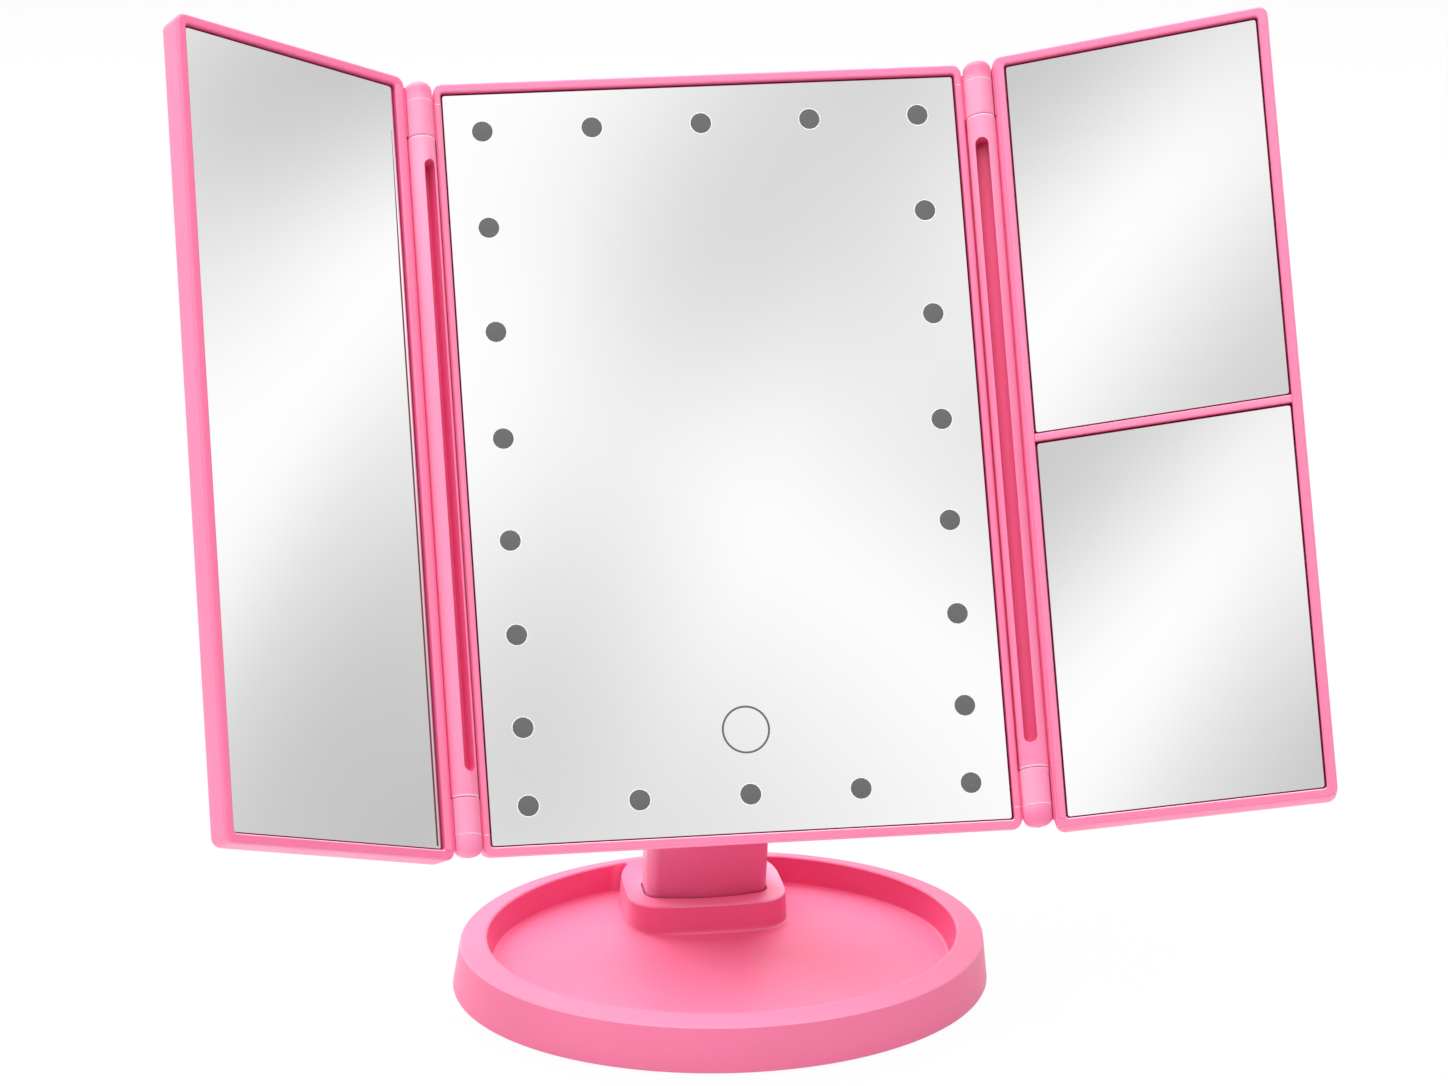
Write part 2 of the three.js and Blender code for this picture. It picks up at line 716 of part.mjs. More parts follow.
function contactPlate(side) {
  const back = bayHalf - gap;
  const face = back - contactThickness;
  const cellEnd = cellLength / 2 + gap;
  const tall = bayHeight / 2 - gap;
  const middle = bayBottom + bayHeight / 2;
  const reach = cellRadius - contactMargin;
  const [front, rear] = [cellDepth - reach, cellDepth + reach];
  const added = [block(side * face, side * back, front, rear, middle - tall, middle + tall)];
  for (let i = 0; i < cellCount; i += 1) {
    const z = cellZ(i);
    const positive = (i % 2 === 0 ? 1 : -1) === side;
    const radius = positive ? nubRadius : springEnd;
    added.push(barX(side * (face + root), side * cellEnd, cellDepth, z, radius, holeSides));
  }
  return join(added);
}

// Screw with its shank along the given direction from the underside of its head.
function screw(at, direction, length, kind) {
  const head = new THREE.Vector3(...at);
  const way = new THREE.Vector3(...direction);
  const end = head.clone().addScaledVector(way, length);
  const back = head.clone().addScaledVector(way, -kind.height);
  const start = head.clone().addScaledVector(way, -root);
  const shank = rod(start.toArray(), end.toArray(), kind.shank, holeSides);
  return shank.add(rod(back.toArray(), at, kind.head, holeSides));
}

function hingePin(end) {
  const z = end * seamZ;
  return barZ(0, 0, z - pinReach, z + pinReach, pinRadius, holeSides);
}

// Wing tray with its long barrel, drawn from the hinge axis outwards.
function wingTray(side, divided) {
  const lip = axisForward;
  const outer = { x0: wingInner, x1: wingOuter, z0: -wingHalf, z1: wingHalf, corner: panelCorner };
  const opening = {
    x0: wingGlassStart - gap,
    x1: wingGlassEnd + gap,
    z0: -wingGlassHalf - gap,
    z1: wingGlassHalf + gap,
    corner: glassCorner,
  };
  const tray = loft([
    panelRing(outer, wingRound, lip + wingDepth, side),
    panelRing(outer, wingRound * roundShare, lip + wingDepth - wingRound * roundShare, side),
    panelRing(outer, 0, lip + wingDepth - wingRound, side),
    panelRing(outer, 0, lip + lipRound, side),
    panelRing(outer, lipRound * roundShare, lip + lipRound * roundShare, side),
    panelRing(outer, lipRound, lip, side),
    panelRing(opening, -innerRound, lip, side),
    panelRing(opening, 0, lip + innerRound, side),
    panelRing(opening, 0, lip + seatDepth, side),
  ]);
  const end = seamZ - gap;
  const barrel = turned([
    [0, -end], [barrelRadius - barrelEdge, -end], [barrelRadius, -end + barrelEdge],
    [barrelRadius, end - barrelEdge], [barrelRadius - barrelEdge, end], [0, end],
  ]);
  const band = lip + hingeStepDrop; // low step beside the barrel
  const webStart = side * (barrelRadius - webWidth);
  const web = block(webStart, side * (wingInner + past), band, lip + webDepth, -end, end);
  const added = [tray, barrel, web];
  if (divided) {
    const bar = dividerWidth / 2;
    const [x0, x1] = [side * (opening.x0 - root), side * (opening.x1 + root)];
    added.push(block(x0, x1, lip + dividerDrop, lip + seatDepth + root, -bar, bar));
  }
  const slotEnd = seamZ - slotFromSeam - slotWidth / 2;
  const front = -barrelRadius - past;
  const removed = [block(-slotWidth / 2, slotWidth / 2, front, slotBelowAxis, -slotEnd, slotEnd)];
  const far = wingHalf + past;
  removed.push(block(side * wingInner, side * (wingInner + hingeStep), lip - past, band, -far, far));
  for (const way of [-1, 1]) {
    removed.push(barY(0, front, slotBelowAxis, way * slotEnd, slotWidth / 2));
    const [mouth, bottom] = [way * (seamZ + past), way * (seamZ - pinReach - gap)];
    removed.push(barZ(0, 0, mouth, bottom, pinRadius + gap, holeSides));
  }
  return cut(join(added), removed);
}

function wingGlass(side, z0, z1) {
  const rect = { x0: wingGlassStart, x1: wingGlassEnd, z0, z1, corner: glassCorner };
  return pane(rect, axisForward + glassRecess, axisForward + glassBack, side);
}

// Plan of the post: a slightly domed front between round corners, and a straight back.
function postPlan(grow, steps = 5) {
  const half = postWidth / 2 + grow;
  const radius = postCorner + grow;
  const front = postFrontY - grow;
  const back = postBackY + grow;
  const rear = postRearCorner + grow;
  const plan = [];
  for (let i = 0; i <= 2 * steps; i += 1) {
    const x = (half - radius) * (i / steps - 1);
    plan.push([x, front + postBulge * (x / half) ** 2]);
  }
  const cornerY = front + postBulge * (1 - radius / half) ** 2 + radius;
  for (let i = 1; i <= steps; i += 1) {
    const angle = (Math.PI / 2) * (i / steps);
    plan.push([half - radius + radius * Math.sin(angle), cornerY - radius * Math.cos(angle)]);
  }
  for (let i = 0; i <= 3; i += 1) {
    const angle = (Math.PI / 2) * (i / 3);
    plan.push([half - rear + rear * Math.cos(angle), back - rear + rear * Math.sin(angle)]);
  }
  const mirrored = plan.slice(2 * steps + 1).reverse().map(([x, y]) => [-x, y]);
  return [...plan, ...mirrored];
}

const planRing = (plan, z) => plan.map(([x, y]) => new THREE.Vector3(x, y, z));

function postFrontShell() {
  const plan = postPlan(0);
  const column = loft([
    planRing(postPlan(-postFootEdge), footZ),
    planRing(plan, footZ + 2 * postFootEdge),
    planRing(plan, postTop),
  ]);
  const radius = postDepth / 2;
  const round = barX(-postWidth, postWidth, axleY, axleHeight, radius, wideSides);
  const [near, far] = [postFrontY - past, postBackY + past];
  const below = block(-postWidth, postWidth, near, far, footZ - past, axleHeight);
  const inner = postWidth / 2 - postWall;
  const hollowFront = postFrontY + postBulge + postWall;
  const removed = [
    block(-inner, inner, hollowFront, far, coverBottom, coverTop),
    barX(-postWidth, postWidth, axleY, axleHeight, axleRadius + gap),
  ];
  const pilotTop = floorUnder + postScrew + pilotSpare;
  for (const side of [-1, 1]) {
    removed.push(barZ(side * postScrewX, axleY, footZ - past, pilotTop, largeScrew.shank + gap, holeSides));
  }
  const bosses = [];
  const drilled = [];
  for (const z of coverScrewZ()) {
    bosses.push(barY(0, hollowFront - past, postBackY - coverThickness - gap, z, bossRadius, holeSides));
    drilled.push(barY(0, hollowFront, postBackY, z, smallScrew.shank + gap, holeSides));
  }
  return cut(join([cut(column.intersect(round.add(below)), removed), ...bosses]), drilled);
}

const coverScrewZ = () => [coverBottom + coverScrewInset, coverTop - coverScrewInset];

function postRearCover() {
  const half = postWidth / 2 - postWall - gap;
  const front = postBackY - coverThickness;
  const far = postBackY + past;
  const lid = block(-half, half, front, postBackY, coverBottom + gap, coverTop - gap);
  const removed = [];
  for (const z of coverScrewZ()) {
    removed.push(barY(0, front - past, far, z, smallScrew.shank + gap, holeSides));
    removed.push(barY(0, postBackY - smallScrew.height - gap, far, z, smallScrew.head + gap, holeSides));
  }
  return cut(lid, removed);
}

function washer(side) {
  const x = side * washerStart;
  const end = side * (washerStart + washerThickness);
  const ring = barX(x, end, axleY, axleHeight, washerRadius);
  return ring.subtract(barX(x - side, end + side, axleY, axleHeight, axleRadius + gap));
}

// Round cover over each end of the axle, with a short stub into its bore.
function axleCap(side) {
  const face = boxHalfWidth - boxDraft;
  const flange = barX(side * (face - capThickness), side * face, axleDepth, axleZ, capRadius, wideSides);
  const stubEnd = side * (face - capThickness - capStub);
  const stub = barX(stubEnd, side * (face - root), axleDepth, axleZ, axleRadius);
  return flange.add(stub);
}

// Ring of the oval base, drawn in from its foot by an inset.
function baseRing(inset, z, count = ovalSides) {
  const ring = [];
  for (let i = 0; i < count; i += 1) {
    const angle = (2 * Math.PI * i) / count;
    const reach = baseHalfLength - inset;
    ring.push(new THREE.Vector3(reach * Math.cos(angle), baseRatio * reach * Math.sin(angle), z));
  }
  return ring;
}

// Angle at which a side of the collar, turning in on its way back, comes near the oval of the rim.
function sideEnd(half, turnY, sweep, reach) {
  let [low, high] = [0, Math.PI / 2];
  while (high - low > 1e-6) {
    const angle = (low + high) / 2;
    const x = half - sweep * (1 - Math.cos(angle));
    const y = turnY + sweep * Math.sin(angle);
    if (Math.hypot(x, y / baseRatio) < reach) low = angle;
    else high = angle;
  }
  return low;
}

// Outline of the tray's pocket: the inner oval, running round the collar that carries the post.
function pocketRing(inset, z) {
  const a = pocketHalf - inset;
  const b = baseRatio * a;
  const half = postWidth / 2 + collarMargin + inset;
  const front = postFrontY - collarMargin - inset;
  const radius = collarCorner + inset;
  const right = [];
  for (let i = 0; i <= 5; i += 1) {
    const x = ((half - radius) * i) / 5;
    right.push([x, front + collarBulge * (x / half) ** 2]);
  }
  const cornerY = front + collarBulge * (1 - radius / half) ** 2 + radius;
  for (let i = 1; i <= 6; i += 1) {
    const angle = (Math.PI / 2) * (i / 6);
    right.push([half - radius + radius * Math.sin(angle), cornerY - radius * Math.cos(angle)]);
  }
  const turnY = postBackY + collarStraight;
  const sweep = collarSweep + inset;
  const turn = sideEnd(half, turnY, sweep, a - notchRound);
  for (let i = 0; i <= 3; i += 1) {
    const angle = (turn * i) / 3;
    right.push([half - sweep * (1 - Math.cos(angle)), turnY + sweep * Math.sin(angle)]);
  }
  const last = right[right.length - 1];
  const start = Math.acos((last[0] + notchRound) / a);
  const knee = [last[0], b * Math.sqrt(1 - (last[0] / a) ** 2)];
  const landing = [a * Math.cos(start), b * Math.sin(start)];
  for (let i = 1; i <= 3; i += 1) {
    const t = i / 4;
    const bend = (k) => (1 - t) ** 2 * last[k] + 2 * t * (1 - t) * knee[k] + t * t * landing[k];
    right.push([bend(0), bend(1)]);
  }
  const steps = 13;
  for (let i = 0; i <= steps; i += 1) {
    const angle = start - ((start + Math.PI / 2) * i) / steps;
    right.push([a * Math.cos(angle), b * Math.sin(angle)]);
  }
  const left = right.slice(1, -1).reverse().map(([x, y]) => [-x, y]);
  return [...right, ...left].reverse().map(([x, y]) => new THREE.Vector3(x, y, z));
}

// Loft between rings that aren't convex: the ends are closed by triangulating their outline.
function loftOutline(rings) {
  const count = rings[0].length;
  const points = rings.flat();
  const outline = rings.at(-1).map((p) => new THREE.Vector2(p.x, p.y));
  const caps = THREE.ShapeUtils.triangulateShape(outline, []);
  const faces = [];
  for (const [a, b, c] of caps) {
    const last = (rings.length - 1) * count;
    faces.push(a, c, b, last + a, last + b, last + c);
  }
  for (let r = 0; r + 1 < rings.length; r += 1) {
    for (let i = 0; i < count; i += 1) {
      const j = (i + 1) % count;
      const [here, next] = [r * count, (r + 1) * count];
      faces.push(here + i, here + j, next + j, here + i, next + j, next + i);
    }
  }
  const geometry = new THREE.BufferGeometry().setFromPoints(points);
  geometry.setIndex(faces);
  return solid(geometry);
}

const rimMiddle = () => (outerFlare + rimWidth + outerFlare + baseWall) / 2;

function basePoint(inset, degrees) {
  const angle = THREE.MathUtils.degToRad(degrees);
  const reach = baseHalfLength - inset;
  return [reach * Math.cos(angle), baseRatio * reach * Math.sin(angle)];
}

function baseTray() {
  const rimEdge = rimHeight - rimFall;
  const hollowTop = rimEdge - baseWall;
  const innerFoot = outerFlare + rimWidth + innerDraft;
  const body = loft([
    baseRing(innerFoot - baseWall, floorUnder),
    baseRing(innerFoot - innerDraft - baseWall, hollowTop),
    baseRing(outerFlare + baseWall, hollowTop),
    baseRing(baseWall + coverLedge, floorUnder),
    baseRing(baseWall, floorUnder),
    baseRing(baseWall, 0),
    baseRing(footEdge, 0),
    baseRing(0, footEdge),
    baseRing(outerFlare - rimRound * roundShare, rimEdge - rimRound),
    baseRing(outerFlare, rimEdge - rimRound * roundShare),
    baseRing(outerFlare + rimRound, rimEdge),
    baseRing(outerFlare + rimWidth - rimRound, rimHeight),
  ]);
  const pocket = loftOutline([
    pocketRing(innerDraft + pocketRound, floorTop),
    pocketRing(innerDraft + pocketRound * roundShare, floorTop + pocketRound * roundShare),
    pocketRing(innerDraft, floorTop + pocketRound),
    pocketRing(0, rimHeight - rimRound),
    pocketRing(-rimRound * roundShare, rimHeight - rimRound * roundShare),
    pocketRing(-rimRound, rimHeight),
    pocketRing(-rimRound, rimHeight + past),
  ]);
  const socket = loft([planRing(postPlan(gap), socketFloor), planRing(postPlan(gap), rimHeight + past)]);
  const wellTop = floorUnder + largeScrew.height + 2 * gap;
  const wellX = postScrewX + wellHalf;
  const well = block(-wellX, wellX, axleY - wellHalf, axleY + wellHalf, floorUnder - past, wellTop);
  const removed = [pocket, socket, well];
  for (const side of [-1, 1]) {
    const x = side * postScrewX;
    removed.push(barZ(x, axleY, wellTop - past, socketFloor + past, largeScrew.shank + gap, holeSides));
  }
  const bosses = [];
  for (const degrees of screwAngles) {
    const [x, y] = basePoint(rimMiddle(), degrees);
    bosses.push(barZ(x, y, coverPlate + gap, hollowTop + root, bossRadius, holeSides));
    removed.push(barZ(x, y, coverPlate - past, hollowTop - past, smallScrew.shank + gap, holeSides));
  }
  return cut(join([body, ...bosses]), removed);
}

function baseCover() {
  const lid = loft([
    baseRing(baseWall + gap + footEdge, 0),
    baseRing(baseWall + gap, footEdge),
    baseRing(baseWall + gap, coverPlate - footEdge),
    baseRing(baseWall + gap + footEdge, coverPlate),
  ]);
  const removed = [];
  for (const degrees of screwAngles) {
    const [x, y] = basePoint(rimMiddle(), degrees);
    removed.push(barZ(x, y, -past, coverPlate + past, smallScrew.shank + gap, holeSides));
    removed.push(barZ(x, y, -past, smallScrew.height + gap, smallScrew.head + gap, holeSides));
  }
  for (const degrees of Object.values(footAngles)) {
    const [x, y] = basePoint(footInset, degrees);
    for (const side of [-1, 1]) {
      removed.push(barZ(side * x, y, -past, footSeat, footRadius + gap));
    }
  }
  return cut(lid, removed);
}

function rubberFoot(x, y) {
  const top = footSeat - gap;
  return turned([
    [0, -footHeight], [footRadius - footEdge, -footHeight], [footRadius, -footHeight + footEdge],
    [footRadius, top], [0, top],
  ]).translate([x, y, 0]);
}

function add(group, name, shape, material) {
  const mesh = new THREE.Mesh(geometryOf(shape), material);
  mesh.name = name;
  group.add(mesh);
}

function buildBase(group) {
  add(group, 'base_tray', baseTray(), pink);
  add(group, 'base_cover', baseCover(), pink);
  for (const [row, degrees] of Object.entries(footAngles)) {
    const [x, y] = basePoint(footInset, degrees);
    add(group, `foot_${row}_left`, rubberFoot(-x, y), rubber);
    add(group, `foot_${row}_right`, rubberFoot(x, y), rubber);
  }
  screwAngles.forEach((degrees, i) => {
    const [x, y] = basePoint(rimMiddle(), degrees);
    const shape = screw([x, y, smallScrew.height], [0, 0, 1], coverScrew, smallScrew);
    add(group, `base_screw_${i + 1}`, shape, steel);
  });
}

function buildPost(group) {
  add(group, 'post_front_shell', postFrontShell(), pink);
  add(group, 'post_rear_cover', postRearCover(), pink);
  const seat = postBackY - smallScrew.height;
  coverScrewZ().forEach((z, i) => {
    const shape = screw([0, seat, z], [0, -1, 0], shortScrew, smallScrew);
    add(group, `cover_screw_${i === 0 ? 'lower' : 'upper'}`, shape, steel);
  });
  const headTop = floorUnder + largeScrew.height + gap;
  for (const [name, side] of [['left', -1], ['right', 1]]) {
    const x = side * postScrewX;
    const shape = screw([x, axleY, headTop], [0, 0, 1], postScrew, largeScrew);
    add(group, `post_screw_${name}`, shape, steel);
    add(group, `friction_washer_${name}`, washer(side), nylon);
  }
  const reach = boxHalfWidth - boxDraft - capThickness - capStub - gap;
  add(group, 'tilt_axle', rod([-reach, axleY, axleHeight], [reach, axleY, axleHeight], axleRadius), steel);
}

function buildHead(group) {
  add(group, 'front_frame', frontFrame(), pink);
  add(group, 'rear_housing', rearHousing(), pink);
  add(group, 'centre_glass', centreGlass(), mirror);
  add(group, 'led_board', ledBoard(), board);
  add(group, 'control_board', controlBoard(), board);
  add(group, 'touch_sensor', touchSensor(), steel);
  for (let i = 0; i < cellCount; i += 1) {
    add(group, `battery_${i + 1}`, battery(i), cellWrap);
  }
  add(group, 'battery_door', batteryDoor(), pink);
  add(group, 'switch_body', switchBody(), nylon);
  add(group, 'switch_slider', switchSlider(), pink);
  add(group, 'usb_socket', usbSocket(), steel);
  let count = 0;
  for (const [name, side] of [['left', -1], ['right', 1]]) {
    add(group, `contact_plate_${name}`, contactPlate(side), steel);
    add(group, `axle_cap_${name}`, axleCap(side), pink);
    for (const end of [-1, 1]) {
      count += 1;
      const [x, z] = [side * bossCorner[0], end * bossCorner[1]];
      const seat = plateBack - smallScrew.height - headSink + gap;
      const shape = screw([x, seat, z], [0, -1, 0], shortScrew - 2 * gap, smallScrew);
      add(group, `housing_screw_${count}`, shape, steel);
      const pin = hingePin(end).translate([side * hingeX, -axisForward, 0]);
      add(group, `hinge_pin_${name}_${end > 0 ? 'upper' : 'lower'}`, pin, steel);
    }
  }
}

function wingGroup(side, fold) {
  const group = new THREE.Group();
  group.position.set(side * hingeX, -axisForward, 0);
  group.rotation.z = -side * THREE.MathUtils.degToRad(fold);
  return group;
}

function buildWings(head) {
  const left = wingGroup(-1, leftFold);
  add(left, 'left_wing_tray', wingTray(-1, false), pink);
  add(left, 'left_wing_glass', wingGlass(-1, -wingGlassHalf, wingGlassHalf), mirror);
  const right = wingGroup(1, rightFold);
  const bar = dividerWidth / 2 + gap;
  add(right, 'right_wing_tray', wingTray(1, true), pink);
  add(right, 'right_upper_glass', wingGlass(1, bar, wingGlassHalf), mirror);
  add(right, 'right_lower_glass', wingGlass(1, -wingGlassHalf, -bar), mirror);
  head.add(left, right);
}

const mirrorStand = new THREE.Group();
buildBase(mirrorStand);
buildPost(mirrorStand);

// The head's group turns about the axle: its origin is the axle, and its pieces are drawn from the
// middle of the panel, so an inner group shifts them back.
const head = new THREE.Group();
head.position.set(0, axleY, axleHeight);
head.rotation.x = -THREE.MathUtils.degToRad(tiltBack);
const panel = new THREE.Group();
panel.position.set(0, -axleDepth, -axleZ);
buildHead(panel);
buildWings(panel);
head.add(panel);
mirrorStand.add(head);

export default mirrorStand;
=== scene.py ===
import json

import bmesh
import bpy
import numpy as np
from mathutils import Matrix, Vector


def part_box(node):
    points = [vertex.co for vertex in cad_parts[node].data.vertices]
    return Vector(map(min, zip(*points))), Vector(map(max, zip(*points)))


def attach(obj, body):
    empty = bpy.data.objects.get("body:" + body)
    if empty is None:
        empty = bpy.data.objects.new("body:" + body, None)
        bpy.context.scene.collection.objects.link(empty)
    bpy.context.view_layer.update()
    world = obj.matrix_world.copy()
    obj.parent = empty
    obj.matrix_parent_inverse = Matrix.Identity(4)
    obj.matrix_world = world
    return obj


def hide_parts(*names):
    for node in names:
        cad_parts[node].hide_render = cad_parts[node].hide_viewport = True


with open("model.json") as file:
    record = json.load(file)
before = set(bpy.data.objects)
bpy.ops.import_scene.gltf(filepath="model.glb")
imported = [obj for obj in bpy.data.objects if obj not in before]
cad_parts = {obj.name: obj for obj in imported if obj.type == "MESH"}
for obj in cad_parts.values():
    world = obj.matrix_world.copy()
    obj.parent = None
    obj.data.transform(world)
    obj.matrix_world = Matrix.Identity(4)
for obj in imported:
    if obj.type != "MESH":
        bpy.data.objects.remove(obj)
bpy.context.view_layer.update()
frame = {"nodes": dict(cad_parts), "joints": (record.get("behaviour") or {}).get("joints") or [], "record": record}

# Lighted tri-fold mirror on an oval tray. Shapes are worked out in millimetres and put in as metres.
scene = bpy.context.scene
scene.view_settings.view_transform = "Standard"
metre = 0.001

joints = {joint["name"]: joint for joint in frame["joints"]}
tiltBack = np.radians(-joints["head_tilt"]["range_deg"][0])
axle = np.array(joints["head_tilt"]["pos_m"]) / metre
sideNames = {-1: "left", 1: "right"}
folds = {side: np.radians(-joints[f"{name}_wing_fold"]["range_deg"][0]) for side, name in sideNames.items()}


def cadBounds(node):
    # Lowest and highest corner of a CAD node, in millimetres.
    low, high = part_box(node)
    return np.array(low) / metre, np.array(high) / metre


# The centre panel, in its own coordinates: x to the right, depth behind the lips, height from the middle
panel = {
    "glassX": 80.0, "glassZ": 117.5, "glassGap": 0.3, "glassDepth": 1.3, "glassThickness": 2.0,
    "sideLip": 2.3, "endLip": 3.0, "corner": 3.0, "openingCorner": 1.0, "depth": 6.5,
    "lipRound": 0.9, "innerRound": 0.5, "axisForward": 0.3, "barrelRadius": 4.3, "turnGap": 0.4,
    "bottomDraft": 0.19,
}
panel["halfX"] = panel["glassX"] + panel["glassGap"] + panel["sideLip"]
panel["halfZ"] = panel["glassZ"] + panel["glassGap"] + panel["endLip"]
panel["hingeX"] = panel["halfX"] + panel["turnGap"] + panel["barrelRadius"]
panel["seat"] = panel["glassDepth"] + panel["glassThickness"] + panel["glassGap"]
fromAxle = np.array(joints["left_wing_fold"]["pos_m"]) / metre - axle
panel["axleDepth"] = fromAxle[2] * np.sin(tiltBack) - fromAxle[1] * np.cos(tiltBack) - panel["axisForward"]
panel["axleZ"] = -(fromAxle[1] * np.sin(tiltBack) + fromAxle[2] * np.cos(tiltBack))


def fade(value, start, full):
    # 0 up to the start and 1 past the full value, straight between.
    return np.clip((value - start) / (full - start), 0, 1)


def asDrawn(points):
    return points


def fromPanel(points):
    # The panel is turned back by the tilt about the axle, then moved to the axle.
    y = points[..., 1] - panel["axleDepth"]
    z = points[..., 2] - panel["axleZ"]
    turnedY = y * np.cos(tiltBack) + z * np.sin(tiltBack)
    turnedZ = z * np.cos(tiltBack) - y * np.sin(tiltBack)
    return np.stack([points[..., 0], axle[1] + turnedY, axle[2] + turnedZ], -1)


def toPanel(points):
    # The other way round: from the shared frame to the upright panel.
    y = points[..., 1] - axle[1]
    z = points[..., 2] - axle[2]
    depth = y * np.cos(tiltBack) - z * np.sin(tiltBack) + panel["axleDepth"]
    height = y * np.sin(tiltBack) + z * np.cos(tiltBack) + panel["axleZ"]
    return np.stack([points[..., 0], depth, height], -1)


def draftBottom(points):
    # Draft: behind the lip the underside rises towards the back, fading out over the height of the lip.
    share = fade(-points[..., 2], panel["halfZ"] - panel["endLip"], panel["halfZ"])
    rise = panel["bottomDraft"] * np.maximum(points[..., 1] - panel["lipRound"] - 0.3, 0) * share
    return points + np.stack([0 * rise, 0 * rise, rise], -1)


def draftHousing(points):
    return fromPanel(draftBottom(toPanel(points)))


def fromWing(side):
    # A wing is drawn outwards from its hinge axis, turned forward by its fold, and set on the panel.
    angle = -side * folds[side]

    def place(points):
        x = side * points[..., 0]
        y = points[..., 1]
        foldedX = side * panel["hingeX"] + x * np.cos(angle) - y * np.sin(angle)
        foldedY = -panel["axisForward"] + x * np.sin(angle) + y * np.cos(angle)
        return fromPanel(np.stack([foldedX, foldedY, points[..., 2]], -1))

    return place


def edgeRound(radius, steps):
    # Quarter circle from the side of an edge to its face: how far in, and how far down from the face.
    angle = np.linspace(0, np.pi / 2, steps + 1)
    return radius * (1 - np.cos(angle)), radius * (1 - np.sin(angle))


def rectFrom(x, z, corner):
    # Rectangle between two x values and two z values, each pair in any order.
    return {"x0": min(x), "x1": max(x), "z0": min(z), "z1": max(z), "corner": corner}


def rectStack(rect, steps, cornerSteps=8, leastCorner=0.12):
    # One ring of a round-cornered rectangle for each (inset, depth) pair: corner centre plus radius times
    # (cos, sin).
    inset, depth = np.array(steps, float).T[:, :, None, None]
    radius = np.maximum(rect["corner"] - inset, leastCorner)
    quarter = np.linspace(0, np.pi / 2, cornerSteps + 1)
    angle = (np.arange(4)[:, None] * np.pi / 2 + quarter)[None]
    signX = np.array([1, -1, -1, 1])[None, :, None]
    signZ = np.array([1, 1, -1, -1])[None, :, None]
    halfX = (rect["x1"] - rect["x0"]) / 2 - inset
    halfZ = (rect["z1"] - rect["z0"]) / 2 - inset
    x = (rect["x0"] + rect["x1"]) / 2 + signX * (halfX - radius) + radius * np.cos(angle)
    z = (rect["z0"] + rect["z1"]) / 2 + (signZ * (halfZ - radius) + radius * np.sin(angle))
    return np.stack([x, np.broadcast_to(depth, x.shape), z], -1).reshape(len(depth), -1, 3)


def shell(grid, wrap=True, loop=False, capStart=False, capEnd=False):
    # Quads between neighbouring points. Wrap closes each row, and loop joins the last row to the first.
    rows, columns = grid.shape[:2]
    index = np.arange(rows * columns).reshape(rows, columns)
    if loop:
        index = np.vstack([index, index[:1]])
    if wrap:
        index = np.hstack([index, index[:, :1]])
    corners = [index[:-1, :-1], index[:-1, 1:], index[1:, 1:], index[1:, :-1]]
    faces = np.stack(corners, -1).reshape(-1, 4).tolist()
    if capStart:
        faces.append(index[0, :columns][::-1].tolist())
    if capEnd:
        faces.append(index[rows - 1, :columns].tolist())
    return grid.reshape(-1, 3), faces


def toned(work, tones):
    # Painted light for each ring or point of a shell: 0 is the plain colour, 1 painted shade, 2 the deeper
    # painted shade of a crevice, below 0 a painted highlight.
    points, faces = work
    return points, faces, np.repeat(tones, len(points) // len(tones))


def prism(rect, steps, tones=(0,)):
    # Closed solid on one rectangle, with a tone for each of its rings.
    return toned(shell(rectStack(rect, steps), capStart=True, capEnd=True), tones)


def turnedGrid(radius, height, side, sides=64):
    # Surface of revolution about a hinge, from radii and heights.
    around = np.linspace(0, 2 * np.pi, sides, endpoint=False)
    x = side * panel["hingeX"] + radius[:, None] * np.cos(around)
    y = -panel["axisForward"] + radius[:, None] * np.sin(around)
    return np.stack([x, y, np.broadcast_to(height[:, None], x.shape)], -1)


def fillOpen(work):
    # Flat faces between the open edges that the shells leave in one plane.
    edges = [edge for edge in work.edges if edge.is_boundary]
    bmesh.ops.triangle_fill(work, edges=edges, use_beauty=True, use_dissolve=False)


def setPiece(name, mesh, material, body, replaces, sharp):
    # Smooth faces with edges sharp past an angle, the finish, and what the piece rides on and stands for.
    mesh.polygons.foreach_set("use_smooth", np.ones(len(mesh.polygons), bool))
    mesh.set_sharp_from_angle(angle=np.radians(sharp))
    mesh.materials.clear()
    mesh.materials.append(material)
    piece = bpy.data.objects.new(name, mesh)
    scene.collection.objects.link(piece)
    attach(piece, body)
    if replaces:
        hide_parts(*replaces)
    return piece


def addPiece(name, shells, material, body, place, replaces, sharp, finish=None):
    # One mesh from several shells, with doubles merged and faces out.
    points, faces, tones, start = [], [], [], 0
    for corners, quads, *paintedLight in shells:
        points.append(corners)
        tones.append(paintedLight[0] if paintedLight else np.zeros(len(corners)))
        faces += [[start + i for i in face] for face in quads]
        start += len(corners)
    points = np.concatenate(points)
    mesh = bpy.data.meshes.new(name)
    mesh.from_pydata((place(points) * metre).tolist(), [], faces)
    drawn = mesh.attributes.new("drawn", "FLOAT_VECTOR", "POINT")  # place in the piece's own coordinates
    drawn.data.foreach_set("vector", (points * metre).astype(np.float32).ravel())
    # Painted light for each point: above 0 painted shade, below 0 a painted highlight
    deep = mesh.attributes.new("paintedLight", "FLOAT", "POINT")
    deep.data.foreach_set("value", np.concatenate(tones).astype(np.float32))
    work = bmesh.new()
    work.from_mesh(mesh)
    bmesh.ops.remove_doubles(work, verts=work.verts, dist=2e-6)
    bmesh.ops.dissolve_degenerate(work, dist=1e-6, edges=work.edges)
    if finish:
        finish(work)
    bmesh.ops.recalc_face_normals(work, faces=work.faces)
    work.to_mesh(mesh)
    work.free()
    return setPiece(name, mesh, material, body, replaces, sharp)


